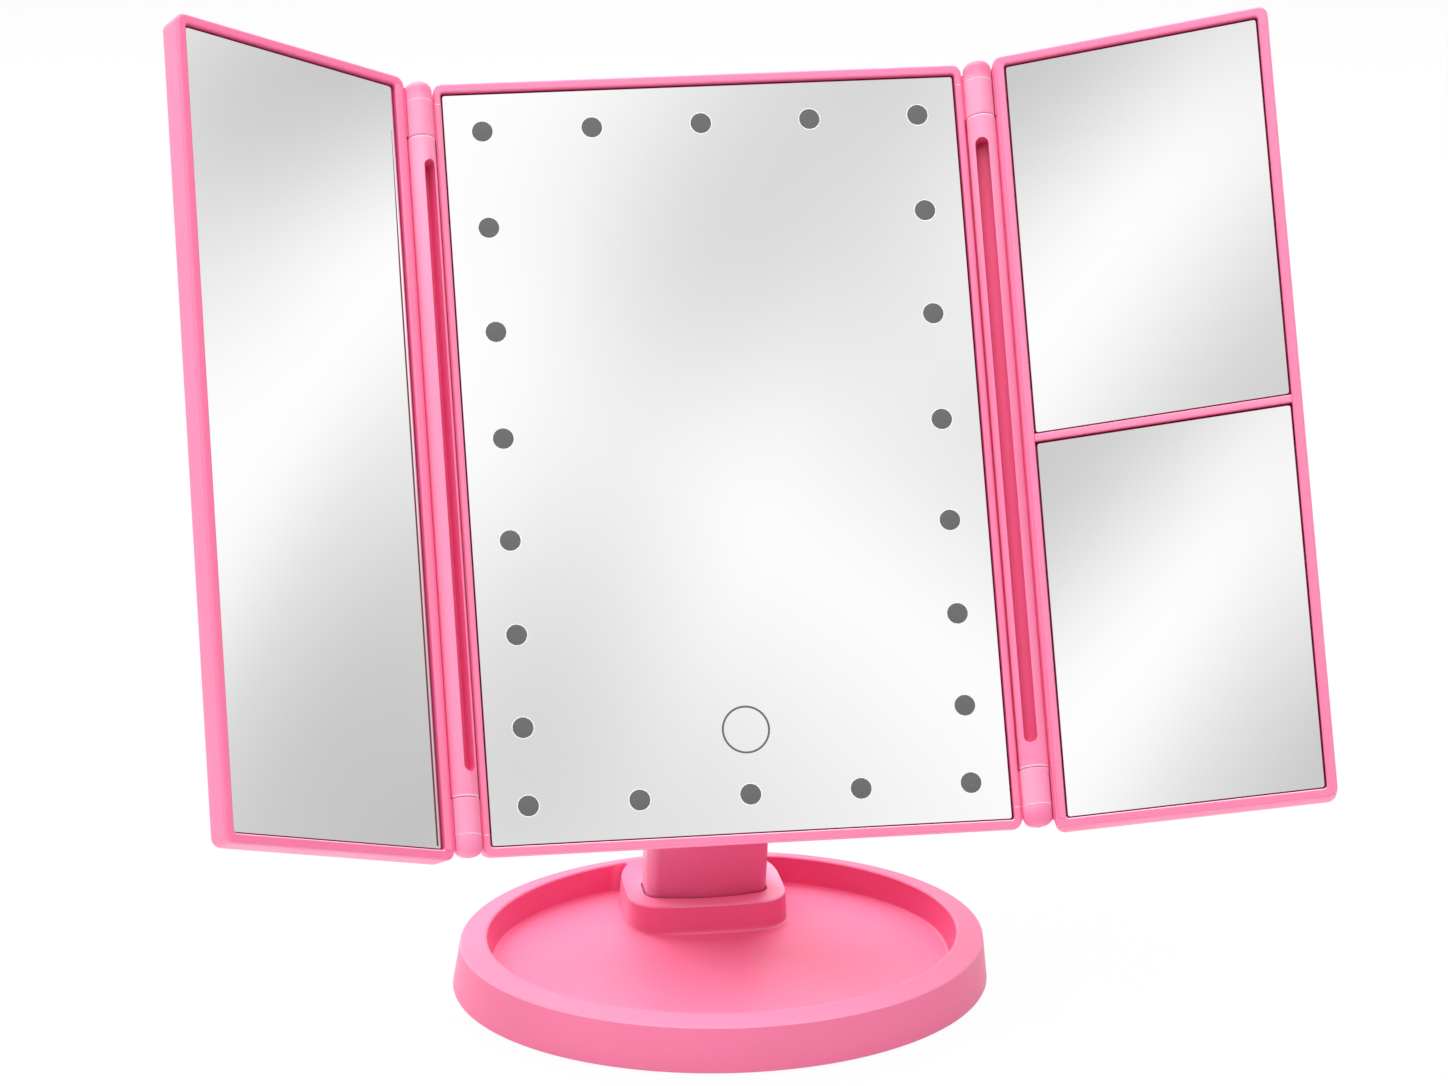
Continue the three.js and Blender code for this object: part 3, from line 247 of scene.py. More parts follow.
def refine(node, name, material, body, width, sharp=28, reshape=asDrawn):
    # Copy of a CAD node with its triangles merged, flat faces joined, and a small round on each sharp edge.
    mesh = frame["nodes"][node].data.copy()
    mesh.name = name
    work = bmesh.new()
    work.from_mesh(mesh)
    bmesh.ops.remove_doubles(work, verts=work.verts, dist=2e-6)
    bmesh.ops.dissolve_limit(work, angle_limit=0.02, verts=work.verts, edges=work.edges)
    bmesh.ops.recalc_face_normals(work, faces=work.faces)
    work.to_mesh(mesh)
    work.free()
    points = np.empty(len(mesh.vertices) * 3, np.float32)
    mesh.vertices.foreach_get("co", points)
    points = reshape(points.reshape(-1, 3) / metre) * metre
    mesh.vertices.foreach_set("co", points.ravel())
    mesh.update()
    piece = setPiece(name, mesh, material, body, [node], sharp)
    bevel = piece.modifiers.new("soft edges", "BEVEL")
    bevel.width = width * metre
    bevel.segments = 3
    bevel.limit_method = "ANGLE"
    bevel.angle_limit = np.radians(sharp)
    bevel.use_clamp_overlap = True
    bevel.harden_normals = True
    return piece


# Finishes
def srgb(red, green, blue):
    # Display values from 0 to 255 as the linear colour that a shader takes.
    value = np.array([red, green, blue]) / 255
    linear = np.where(value <= 0.04045, value / 12.92, ((value + 0.055) / 1.055) ** 2.4)
    return (*[float(part) for part in linear], 1.0)


def feed(tree, node, values):
    # Fills inputs by name or number. A value that is a socket is linked, and any other is set.
    for name, value in values.items():
        if isinstance(value, bpy.types.NodeSocket):
            tree.links.new(value, node.inputs[name])
        else:
            node.inputs[name].default_value = value


def addNode(tree, kind, values=None, **settings):
    node = tree.nodes.new("ShaderNode" + kind)
    for name, value in settings.items():
        setattr(node, name, value)
    feed(tree, node, values or {})
    return node


def noise(tree, scale, detail=2):
    place = addNode(tree, "TexCoord").outputs["Object"]
    return addNode(tree, "TexNoise", {"Vector": place, "Scale": scale, "Detail": detail}).outputs["Fac"]


def mixColour(tree, share, first, second):
    values = {"Factor": share, "A": first, "B": second}
    return addNode(tree, "Mix", values, data_type="RGBA").outputs["Result"]


def newMaterial(name):
    material = bpy.data.materials.new(name)
    material.use_nodes = True
    tree = material.node_tree
    tree.nodes.clear()
    shader = addNode(tree, "BsdfPrincipled")
    output = addNode(tree, "OutputMaterial", {"Surface": shader.outputs["BSDF"]})
    return material, tree, shader, output


# The last three colours are painted light: a painted highlight, painted shade and the deeper painted shade of
# crevices
skinColours = ("Colour", "Deep colour", "Painted highlight colour", "Painted shade colour", "Painted crevice shade colour")
skinValues = {"Drift scale": 18, "Grain scale": 1500, "Satin": 0.4, "Rubbed": 0.32}
rubbing = {"scale": 46, "detail": 5, "from": 0.42, "to": 0.66}
grainDepth = 0.00012


def mouldedSkinGroup():
    # Soft drift between two colours, a fine satin grain, rubbed patches that shine a little more, and painted
    # light: a lighter painted highlight or deeper painted shade where a point's value of painted light asks for
    # it.
    group = bpy.data.node_groups.new("mouldedSkin", "ShaderNodeTree")
    inputs = [(name, "NodeSocketColor", (1, 1, 1, 1)) for name in skinColours]
    inputs += [(name, "NodeSocketFloat", value) for name, value in skinValues.items()]
    for name, kind, value in inputs:
        group.interface.new_socket(name, in_out="INPUT", socket_type=kind).default_value = value
    outputs = {"Colour": "NodeSocketColor", "Roughness": "NodeSocketFloat", "Height": "NodeSocketFloat"}
    for name, kind in outputs.items():
        group.interface.new_socket(name, in_out="OUTPUT", socket_type=kind)
    entry = group.nodes.new("NodeGroupInput").outputs
    colour = mixColour(group, noise(group, entry["Drift scale"], 3), entry["Colour"], entry["Deep colour"])
    paintedLight = addNode(group, "Attribute", attribute_name="paintedLight").outputs["Fac"]
    for name, start, full in (("Painted highlight colour", 0, -1), ("Painted shade colour", 0, 1), ("Painted crevice shade colour", 1, 2)):
        share = addNode(group, "MapRange", {"Value": paintedLight, "From Min": start, "From Max": full})
        colour = mixColour(group, share.outputs["Result"], colour, entry[name])
    patches = {
        "Value": noise(group, rubbing["scale"], rubbing["detail"]), "From Min": rubbing["from"],
        "From Max": rubbing["to"], "To Min": entry["Satin"], "To Max": entry["Rubbed"],
    }
    rough = addNode(group, "MapRange", patches, interpolation_type="SMOOTHSTEP").outputs["Result"]
    results = {"Colour": colour, "Roughness": rough, "Height": noise(group, entry["Grain scale"])}
    feed(group, group.nodes.new("NodeGroupOutput"), results)
    return group


skinGroup = mouldedSkinGroup()


def mouldedMaterial(name, look):
    # Strength is the bump's. The other names are inputs of the skin group or of the shader.
    material, tree, shader, _ = newMaterial(name)
    skin = addNode(tree, "Group", node_tree=skinGroup)
    bump = addNode(tree, "Bump", {"Distance": grainDepth, "Height": skin.outputs["Height"]})
    surface = {"Base Color": skin.outputs["Colour"], "Roughness": skin.outputs["Roughness"]}
    feed(tree, shader, {**surface, "Normal": bump.outputs["Normal"]})
    for socket, value in look.items():
        node = next(node for node in (skin, bump, shader) if socket in node.inputs)
        node.inputs[socket].default_value = value
    return material


looks = {
    "pinkPlastic": {
        # The last three colours are painted light: a painted highlight, painted shade and the deeper painted shade
        # of crevices
        "Colour": srgb(254, 138, 178), "Deep colour": srgb(253, 132, 173), "Painted highlight colour": srgb(255, 200, 226),
        "Painted shade colour": srgb(238, 88, 140), "Painted crevice shade colour": srgb(172, 8, 38),
        "Drift scale": 16, "Grain scale": 1700, "Satin": 0.42, "Rubbed": 0.34, "Strength": 0.1, "IOR": 1.5,
    },
    # Pale pink of the parting beads, a painted highlight
    "paintedHighlightPlastic": {
        "Colour": srgb(255, 206, 226), "Deep colour": srgb(255, 200, 222),
        "Drift scale": 30, "Grain scale": 1700, "Satin": 0.36, "Rubbed": 0.3, "Strength": 0.05, "IOR": 1.5,
    },
    "whiteNylon": {
        "Colour": srgb(240, 238, 234), "Deep colour": srgb(230, 228, 223),
        "Drift scale": 40, "Grain scale": 1200, "Satin": 0.6, "Rubbed": 0.5, "Strength": 0.08,
    },
    "footRubber": {
        "Colour": srgb(214, 210, 206), "Deep colour": srgb(200, 196, 192),
        "Drift scale": 60, "Grain scale": 900, "Satin": 0.85, "Rubbed": 0.7, "Strength": 0.3,
    },
    "circuitBoard": {
        "Colour": srgb(228, 230, 224), "Deep colour": srgb(216, 219, 211),
        "Drift scale": 80, "Grain scale": 2000, "Satin": 0.5, "Rubbed": 0.4, "Strength": 0.1,
    },
    "cellSleeve": {
        "Colour": srgb(62, 66, 72), "Deep colour": srgb(50, 54, 60),
        "Drift scale": 60, "Grain scale": 1500, "Satin": 0.35, "Rubbed": 0.25, "Strength": 0.05,
    },
    "platedSteel": {
        "Colour": srgb(200, 202, 206), "Deep colour": srgb(184, 187, 191),
        "Drift scale": 90, "Grain scale": 2600, "Satin": 0.34, "Rubbed": 0.22, "Strength": 0.12,
        "Metallic": 1,
    },
    "frostedWindow": {
        "Colour": srgb(109, 109, 109), "Deep colour": srgb(105, 105, 105), "Drift scale": 120,
        "Grain scale": 3000, "Satin": 0.75, "Rubbed": 0.65, "Strength": 0.1, "Specular IOR Level": 0.1,
    },
    "etchedRing": {
        "Colour": srgb(250, 250, 250), "Deep colour": srgb(246, 246, 246), "Drift scale": 120,
        "Grain scale": 3000, "Satin": 0.7, "Rubbed": 0.6, "Strength": 0.05, "Specular IOR Level": 0.1,
    },
}
# Darker copy of the pink for the post, as painted shade where it stands under the panel
looks["shadedPlastic"] = {
    **looks["pinkPlastic"], "Colour": srgb(232, 134, 176), "Deep colour": srgb(230, 128, 170),
}
finishes = {name: mouldedMaterial(name, look) for name, look in looks.items()}
pinkPlastic = finishes["pinkPlastic"]


def paintedReflectionStep(tree, source, look):
    # Painted reflection: darkening around a centre, distance over the two radii, turned by an angle, eased to
    # nothing at 1.
    ellipse = {
        "Vector": source, "Location": (look["x"] * metre, 0, look["z"] * metre),
        "Rotation": (0, np.radians(look["turn"]), 0),
        "Scale": (look["across"] * metre, 1, look["along"] * metre),
    }
    mapping = addNode(tree, "Mapping", ellipse, vector_type="TEXTURE")
    length = addNode(tree, "VectorMath", {0: mapping.outputs["Vector"]}, operation="LENGTH")
    ease = {"Value": length.outputs["Value"], "To Min": look["depth"], "To Max": 0}
    return addNode(tree, "MapRange", ease, interpolation_type="SMOOTHSTEP").outputs["Result"]


silverLook = {"silver": (0.985, 0.985, 0.985, 1), "cloudScale": 70, "cloudDetail": 4, "haze": (0.015, 0.035)}


def mirrorMaterial(name, paintedShading):
    # Silvered glass. Its colour is darkened by painted reflection: soft grey drifts painted into the silver.
    material, tree, shader, _ = newMaterial(name)
    source = addNode(tree, "Attribute", attribute_name="drawn").outputs["Vector"]
    total = 0
    for look in paintedShading:
        step = paintedReflectionStep(tree, source, look)
        total = addNode(tree, "Math", {0: total, 1: step}, operation="ADD").outputs["Value"]
    silver = mixColour(tree, total, silverLook["silver"], (0, 0, 0, 1))
    cloud = noise(tree, silverLook["cloudScale"], silverLook["cloudDetail"])
    low, high = silverLook["haze"]
    haze = addNode(tree, "MapRange", {"Value": cloud, "To Min": low, "To Max": high}).outputs["Result"]
    feed(tree, shader, {"Base Color": silver, "Roughness": haze, "Metallic": 1})
    return material


def glassEdgeMaterial():
    # Ground edge of a glass, dark red as a painted reflection of the wall beside it, with a fine ripple from the
    # wheel.
    material, tree, shader, _ = newMaterial("glassEdge")
    tint = mixColour(tree, noise(tree, 700), srgb(96, 14, 30), srgb(140, 42, 62))
    feed(tree, shader, {"Base Color": tint, "Roughness": 0.3})
    return material


glassEdge = glassEdgeMaterial()
print("finishes made")


# Oval base
base = {
    "rimHeight": 17.1, "rimFall": 1.6, "rimRound": 0.9, "outerFlare": 2.4, "rimWidth": 9.1,
    "innerDraft": 1.1, "floorTop": 7.8, "floorUnder": 5.8, "wall": 2.2, "footEdge": 0.4, "pocketRound": 1.2,
    "collarMargin": 6.4, "collarCorner": 10.0, "collarBulge": 1.8, "collarStraight": 2.0, "collarSteep": 0.4,
    "collarSweep": 24.5, "notchRound": 1.2, "socketDepth": 6.3,
}
base["halfLength"] = float(cadBounds("base_tray")[1][0])
base["ratio"] = float(cadBounds("base_tray")[1][1]) / base["halfLength"]
base["pocketHalf"] = base["halfLength"] - base["outerFlare"] - base["rimWidth"]
# Painted light of the tray: above 0 painted shade, below 0 a painted highlight
trayPaintedLight = {
    "band": 0.1, "bandTurn": 0.3, "rim": -0.3, "rimTurn": 0.2, "rimBack": 0.5, "rimLine": -0.8,
    "wall": 0.6, "wallRight": 0.25, "collar": 0.3, "collarLeft": -0.6, "collarRight": 0.45,
    "ledge": -0.2, "collarTop": -0.8, "collarTopLeft": 0.75, "floor": -0.16,
    "socket": [-0.3, 0, 0.5, 1.5, 2],
}
postLow, postHigh = cadBounds("post_front_shell")
post = {
    "half": float(postHigh[0]), "frontY": float(postLow[1]), "backY": float(postHigh[1]),
    "bulge": 3.0, "corner": 4.0, "rearCorner": 1.5, "footEdge": 0.4, "footZ": float(postLow[2]),
    "coverHalf": 18.3, "coverDepth": 2.7, "coverFoot": 12.0, "coverTop": 10.0,
}
postPaintedLight = {"middle": 0.18, "across": 0.26, "leftEdge": -0.65}


def ovalRing(inset, z, count=240):
    # Ellipse of the tray's outline, smaller by the inset, at one height.
    angle = np.linspace(0, 2 * np.pi, count, endpoint=False)
    reach = base["halfLength"] - inset
    return np.stack([reach * np.cos(angle), base["ratio"] * reach * np.sin(angle), np.full(count, z)], -1)


def pocketRing(inset, z):
    # Inner oval that runs round the collar: bulged front, corner arc, a side that turns in on its way back
    # until it comes near the oval, a small fillet, then the oval.
    a = base["pocketHalf"] - inset
    b = base["ratio"] * a
    grow = base["collarSteep"] * inset
    half = post["half"] + base["collarMargin"] + grow
    front = post["frontY"] - base["collarMargin"] - inset
    radius = base["collarCorner"] + grow
    x = (half - radius) * np.linspace(0, 1, 13)
    parts = [np.stack([x, front + base["collarBulge"] * (x / half) ** 2], -1)]
    angle = np.linspace(0, np.pi / 2, 15)[1:]
    cornerY = front + base["collarBulge"] * (1 - radius / half) ** 2 + radius
    parts.append(np.stack([half - radius + radius * np.sin(angle), cornerY - radius * np.cos(angle)], -1))
    turnY = post["backY"] + base["collarStraight"]
    sweep = base["collarSweep"] + grow
    angle = np.linspace(0, np.pi / 2, 2000)
    side = np.stack([half - sweep * (1 - np.cos(angle)), turnY + sweep * np.sin(angle)], -1)
    inside = np.hypot(side[:, 0], side[:, 1] / base["ratio"]) < a - base["notchRound"]
    angle = np.linspace(0, angle[np.argmin(inside)], 9)
    parts.append(np.stack([half - sweep * (1 - np.cos(angle)), turnY + sweep * np.sin(angle)], -1))
    last = parts[-1][-1]
    start = np.arccos((last[0] + base["notchRound"]) / a)
    knee = np.array([last[0], b * np.sqrt(1 - (last[0] / a) ** 2)])
    landing = np.array([a * np.cos(start), b * np.sin(start)])
    t = np.linspace(0, 1, 11)[1:-1, None]
    parts.append((1 - t) ** 2 * last + 2 * t * (1 - t) * knee + t * t * landing)
    angle = np.linspace(start, -np.pi / 2, 91)
    parts.append(np.stack([a * np.cos(angle), b * np.sin(angle)], -1))
    right = np.concatenate(parts)
    left = right[1:-1][::-1] * (-1, 1)
    ring = np.concatenate([right, left])
    return np.column_stack([ring, np.full(len(ring), z)])


def postPlan(grow, steps=20):
    # Domed front, round front corners, then the small rear corners. The back between them stays open.
    half = post["half"] + grow
    radius = post["corner"] + grow
    rear = post["rearCorner"] + grow
    front = post["frontY"] - grow
    x = (half - radius) * np.linspace(0, 1, steps)
    parts = [np.stack([x, front + post["bulge"] * (x / half) ** 2], -1)]
    cornerY = front + post["bulge"] * (1 - radius / half) ** 2 + radius
    angle = np.linspace(0, np.pi / 2, 13)[1:]
    parts.append(np.stack([half - radius + radius * np.sin(angle), cornerY - radius * np.cos(angle)], -1))
    angle = np.linspace(0, np.pi / 2, 9)
    centre = np.array([half - rear, post["backY"] + grow - rear])
    parts.append(centre + rear * np.stack([np.cos(angle), np.sin(angle)], -1))
    parts.append(centre[None] + (-0.3, rear))
    right = np.concatenate(parts)
    return np.concatenate([right[::-1] * (-1, 1), right[1:]])


def traySteps():
    # (inset, height) from the seat of the base cover round the foot, up the flared side and over the rim.
    foot, flare, edge = base["footEdge"], base["outerFlare"], base["rimRound"]
    rimEdge = base["rimHeight"] - base["rimFall"]
    steps = [(base["wall"], base["floorUnder"]), (base["wall"], 0.0), (foot + 0.1, 0.0)]
    steps += [(foot, 0.0), (0.12, 0.12), (0.0, foot), (0.03, foot + 0.15)]
    steps.append((flare - 0.06, rimEdge - edge - 0.25))
    steps += [(flare + a, rimEdge - b) for a, b in zip(*edgeRound(edge, 8))]
    steps.append((flare + edge + 0.25, rimEdge + 0.03))
    last = flare + base["rimWidth"] - edge - 0.5
    return steps + [(last - 0.2, base["rimHeight"] - 0.03), (last, base["rimHeight"])]


def pocketSteps():
    # (inset, height) from the rim over the pocket's edge, down its wall and round its foot to the floor.
    rim, edge, foot, draft = base["rimHeight"], base["rimRound"], base["pocketRound"], base["innerDraft"]
    turn = np.linspace(0, np.pi / 2, 9)
    low = base["floorTop"] + foot
    steps = [(-edge - 0.3, rim)]
    steps += [(-edge * (1 - np.sin(t)), rim - edge * (1 - np.cos(t))) for t in turn]
    steps += [(0.05, rim - edge - 0.3), (draft - 0.05, low + 0.3)]
    steps += [(draft + foot * (1 - np.cos(t)), low - foot * np.sin(t)) for t in turn]
    return steps + [(draft + foot + 0.4, base["floorTop"])]


def pocketTones(pocket, height):
    # Painted light: walls get painted shade, deeper than the ledges, most on the right. The collar is lighter left
    # and deeper right, as painted highlight and painted shade.
    paintedLight = trayPaintedLight
    x = pocket[..., 0]
    reach = post["half"] + base["collarMargin"]
    below = height < base["rimHeight"] - 0.5 * base["rimRound"]
    wall = (below & (height > base["floorTop"] + 0.3))[:, None]
    collar = (abs(x) < reach + 1) & (pocket[..., 1] > 0)
    flank = paintedLight["collar"] + paintedLight["collarLeft"] * fade(-x / reach, 0.8, 1)
    flank += paintedLight["collarRight"] * fade(x / reach, 0.6, 1)
    walls = np.where(collar, flank, paintedLight["wall"] + paintedLight["wallRight"] * fade(x, 0, base["pocketHalf"]))
    top = paintedLight["collarTop"] + paintedLight["collarTopLeft"] * fade(-x / reach, 0.4, 0.8)
    tones = np.where(wall, walls, np.where(collar, top, paintedLight["ledge"]))
    tones[-1] = paintedLight["floor"]
    return tones.ravel()


def buildTray():
    # Ellipses stacked from the foot over the rim, the pocket's rings down to its floor, and the socket
    paintedLight = trayPaintedLight
    grid = np.stack([ovalRing(a, z) for a, z in traySteps()])
    angle = np.arctan2(grid[0, :, 1], grid[0, :, 0])
    turned = 0.5 + 0.5 * np.cos(angle + np.pi / 4)  # 1 at the front right, 0 at the back left
    # Painted light: the band deeper towards the front right, the rim lighter but less so at the front right and
    # the back, and a painted highlight line on the rim's round
    tones = np.zeros(grid.shape[:2])
    tones[5:10] = paintedLight["band"] + paintedLight["bandTurn"] * turned
    tones[10:] = paintedLight["rim"] + paintedLight["rimTurn"] * turned + paintedLight["rimBack"] * np.maximum(np.sin(angle), 0)
    tones[12] = paintedLight["rimLine"]
    shells = [toned(shell(grid, capStart=True), tones.ravel())]
    steps = pocketSteps()
    pocket = np.stack([pocketRing(a, z) for a, z in steps])
    shells.append(toned(shell(pocket, capEnd=True), pocketTones(pocket, np.array(steps)[:, 1])))
    socket = []
    for grow, drop in ((0.7, 0.0), (0.5, 0.0), (0.36, 0.06), (0.3, 0.25), (0.3, base["socketDepth"])):
        plan = postPlan(grow)
        socket.append(np.column_stack([plan, np.full(len(plan), base["rimHeight"] - drop)]))
    # Painted shade deepening down into the socket, with a faint painted highlight at its edge
    shells.append(toned(shell(np.stack(socket), capEnd=True), paintedLight["socket"]))
    return addPiece(
        "tray", shells, pinkPlastic, "stand", asDrawn, ["base_tray"], 30, fillOpen
    )


def buildPost():
    # The plan carried up from the foot to a top that arches over the axle as a half circle, front to back
    plan = postPlan(0.0)
    radius = (post["backY"] - post["frontY"]) / 2
    middleY = (post["backY"] + post["frontY"]) / 2
    top = axle[2] + np.sqrt(np.maximum(radius ** 2 - (plan[:, 1] - middleY) ** 2, 0))
    foot = postPlan(-post["footEdge"])
    rows = [np.column_stack([foot, np.full(len(plan), post["footZ"])])]
    for share in (0.006, 0.25, 0.5, 0.75, 0.9, 0.998, 1.0):
        rows.append(np.column_stack([plan, post["footZ"] + (top - post["footZ"]) * share]))
    across = plan[:, 0] / post["half"]
    # Painted light: deeper towards the right, with a painted highlight along the left edge
    tones = postPaintedLight["middle"] + postPaintedLight["across"] * across
    tones += postPaintedLight["leftEdge"] * fade(-across, 0.8, 0.94)
    shells = [toned(shell(np.stack(rows), wrap=False), np.tile(tones, len(rows)))]
    half = len(plan) // 2
    right = rows[-1][half:]
    left = rows[-1][: half + 1][::-1]
    shells.append(shell(np.stack([left, right], 1), wrap=False))
    shells.append((rows[0], [list(range(len(plan)))[::-1]]))
    seatZ = (post["footZ"] + post["coverFoot"], axle[2] - post["coverTop"])
    seat = rectFrom((-post["coverHalf"], post["coverHalf"]), seatZ, 0.3)
    depths = [(0, post["backY"]), (0, post["backY"] - post["coverDepth"])]
    shells.append(shell(rectStack(seat, depths), capEnd=True))
    material = finishes["shadedPlastic"]
    return addPiece(
        "post", shells, material, "stand", asDrawn, ["post_front_shell"], 30, fillOpen
    )


buildTray()
buildPost()
print("base and post made")


# Centre frame, with its knuckles
knuckle = {
    "length": 18.0, "cap": 6.8, "parting": 0.16, "capRound": 2.9, "crown": 0.4, "foot": 0.3, "webFront": 0.8,
    "webBack": 4.2, "webTop": 3.4, "root": 1.0, "guard": 3.4, "guardDepth": 7.0, "guardThickness": 1.6,
    "guardFrom": -0.8, "guardTo": 3.0, "beadRadius": 0.19, "stripHalf": 0.18, "stripX": (1.9, 0.5),
}
knucklePaintedLight = {
    "drum": -0.25, "across": 0.2, "cap": {-1: 0.2, 1: 0.5}, "web": [1.0, 0.6, 0.5], "guard": [0.8, 0.8],
}
seamZ = panel["halfZ"] - knuckle["length"]
partingZ = seamZ + knuckle["length"] - knuckle["cap"]
hingeEnds = [(side, end) for side in (-1, 1) for end in (-1, 1)]

# Painted light of a tray: highlight on the light line, at the top and at the foot of the opening, and painted
# shade down its wall to the glass
lipPaintedLight = {
    "line": -0.45, "top": -0.55, "low": -0.8, "turn": 0.3, "edge": 0.4, "wall": [0.8, 1.05, 1.5],
    "hinge": 1.9,
}


def lipSteps(plane, side):
    # From the side of a tray round its lip to the flat of the lip.
    inset, drop = edgeRound(panel["lipRound"], 7)
    steps = [(0.0, plane + side), (0.0, plane + panel["lipRound"] + 0.3)]
    steps += [(a, plane + b) for a, b in zip(inset, drop)]
    return steps + [(panel["lipRound"] + 0.2, plane)]


def openingSteps(plane):
    # From the flat of the lip round its inner edge and down to the seat of the glass.
    inset, drop = edgeRound(panel["innerRound"], 5)
    steps = [(-panel["innerRound"] - 0.2, plane)]
    steps += [(-a, plane + b) for a, b in zip(inset[::-1], drop[::-1])]
    return steps + [(0.0, plane + panel["innerRound"] + 0.2), (0.0, plane + panel["seat"])]


def trayTones(grid, first, lip, band):
    # Painted light of a tray from ring number first: band round the side, lip, painted highlight line on its edge,
    # then painted shade down the wall of the opening. The top's outer round and the bottom's inner edge get a
    # painted highlight.
    paintedLight = lipPaintedLight
    tones = np.zeros(grid.shape[:2])
    tones[first:first + 2] = band
    tones[first + 2:first + 9] = lip
    tones[first + 5] = lip + paintedLight["line"]
    tones[first + 9:first + 16] = np.linspace(lip, lip + paintedLight["turn"], 7)[:, None]
    tones[first + 16:first + 20] = np.array([lip + paintedLight["edge"], *paintedLight["wall"]])[:, None]
    height = grid[..., 2]
    row = np.arange(len(grid))[:, None] - first
    top = (height > height.max(1, keepdims=True) - 0.4) & (row > 2) & (row < 8)
    low = (height < height.min(1, keepdims=True) + 0.25) & (row > 12) & (row < 17)
    return np.where(top, lip + paintedLight["top"], np.where(low, paintedLight["low"], tones))


def hingeTones(tones, towards, depth, start, front):
    # Painted shade: the wall beside a hinge barrel is painted the deepest.
    return np.where((towards > start) & (depth > front), lipPaintedLight["hinge"], tones).ravel()


def knuckleProfile():
    # Radii and heights from the foot past the parting groove, then a quarter of an ellipse over the cap.
    foot, parting = knuckle["foot"], knuckle["length"] - knuckle["cap"]
    radius, fine = panel["barrelRadius"], knuckle["parting"]
    profile = [(radius - foot - 0.6, 0.0), (radius - foot, 0.0), (radius - 0.3 * foot, 0.3 * foot)]
    profile += [(radius, foot), (radius, foot + 0.3)]
    profile += [(radius, parting - fine - 0.1), (radius, parting - fine), (radius - fine, parting)]
    profile += [(radius, parting + fine), (radius, parting + fine + 0.1)]
    angle = np.linspace(0, np.pi / 2, 12)
    start = knuckle["length"] - knuckle["capRound"]
    profile.append((radius, start - 0.5))
    rise = knuckle["capRound"] - knuckle["crown"]
    profile += [(radius - knuckle["capRound"] * (1 - np.cos(t)), start + rise * np.sin(t)) for t in angle]
    profile += [(0.7, knuckle["length"] - 0.12), (0.05, knuckle["length"])]
    return np.array(profile).T


def knuckleShells(side, end):
    # Drum with its domed cap, the web that holds it, and a guard that closes the view behind the seam.
    paintedLight = knucklePaintedLight
    radius, height = knuckleProfile()
    grid = turnedGrid(radius, end * (seamZ + height), side)
    across = (grid[..., 0] - side * panel["hingeX"]) / panel["barrelRadius"]
    cap = fade(abs(grid[..., 2]), partingZ, partingZ + 2)
    # Painted light: the drum lighter but deeper on its right and on the cap, and painted shade on the web and
    # guard
    tones = paintedLight["drum"] + paintedLight["across"] * across + paintedLight["cap"][side] * cap
    root = side * (panel["halfX"] - knuckle["root"])
    webZ = (end * (seamZ + 0.02), end * (panel["halfZ"] - knuckle["webTop"]))
    web = rectFrom((root, side * panel["hingeX"]), webZ, 0.3)
    front, deep = knuckle["webFront"], knuckle["guardDepth"]
    reach = side * (panel["halfX"] + knuckle["guard"])
    guardZ = (end * (seamZ + knuckle["guardFrom"]), end * (seamZ + knuckle["guardTo"]))
    guard = rectFrom((root, reach), guardZ, 0.2)
    return [
        toned(shell(grid, capStart=True, capEnd=True), tones.ravel()),
        prism(web, [(0.0, knuckle["webBack"]), (0.0, front + 0.3), (0.3, front)], paintedLight["web"]),
        prism(guard, [(0.0, deep + knuckle["guardThickness"]), (0.0, deep)], paintedLight["guard"]),
    ]


def buildFrame():
    # Outside and lip, opening down to the seat of the glass, and behind the seat the wider hollow
    outer = rectFrom((-panel["halfX"], panel["halfX"]), (-panel["halfZ"], panel["halfZ"]), panel["corner"])
    halfX, halfZ = panel["glassX"] + panel["glassGap"], panel["glassZ"] + panel["glassGap"]
    opening = rectFrom((-halfX, halfX), (-halfZ, halfZ), panel["openingCorner"])
    seat, ledge, thick = panel["seat"], 5.5, 1.5
    behind = [(ledge, seat), (ledge, seat + thick), (0.0, seat + thick), (0.0, panel["depth"])]
    rings = [rectStack(outer, lipSteps(0.0, panel["depth"])), rectStack(opening, openingSteps(0.0) + behind)]
    grid = draftBottom(np.concatenate(rings))
    tones = trayTones(grid, 0, 0.0, 0.0)
    tones = hingeTones(tones, abs(grid[..., 0]), grid[..., 1], panel["halfX"] - 0.02, 0.6)
    shells = [toned(shell(grid, loop=True), tones)]
    for side, end in hingeEnds:
        shells += knuckleShells(side, end)
    return addPiece(
        "centre_frame", shells, pinkPlastic, "head", fromPanel, ["front_frame"], 32
    )


def buildPartingLines():
    # Fine bead where each cap meets its knuckle, carried across the frame's lip beside it, pale pink as a painted
    # highlight.
    shells = []
    bead, half = knuckle["beadRadius"], knuckle["stripHalf"]
    angle = np.linspace(0, 2 * np.pi, 9)[:-1]
    for side, end in hingeEnds:
        z = end * partingZ
        radius = panel["barrelRadius"] - 0.1 + bead * np.cos(angle)
        shells.append(shell(turnedGrid(radius, z + bead * np.sin(angle), side), loop=True))
        stripX = [side * (panel["halfX"] - inset) for inset in knuckle["stripX"]]
        strip = rectFrom(stripX, (z - half, z + half), 0.15)
        shells.append(prism(strip, [(0.0, 0.4), (0.0, 0.0), (0.05, -0.05)]))
    material = finishes["paintedHighlightPlastic"]
    return addPiece("parting_lines", shells, material, "head", fromPanel, [], 50)


buildFrame()
buildPartingLines()
print("centre frame made")


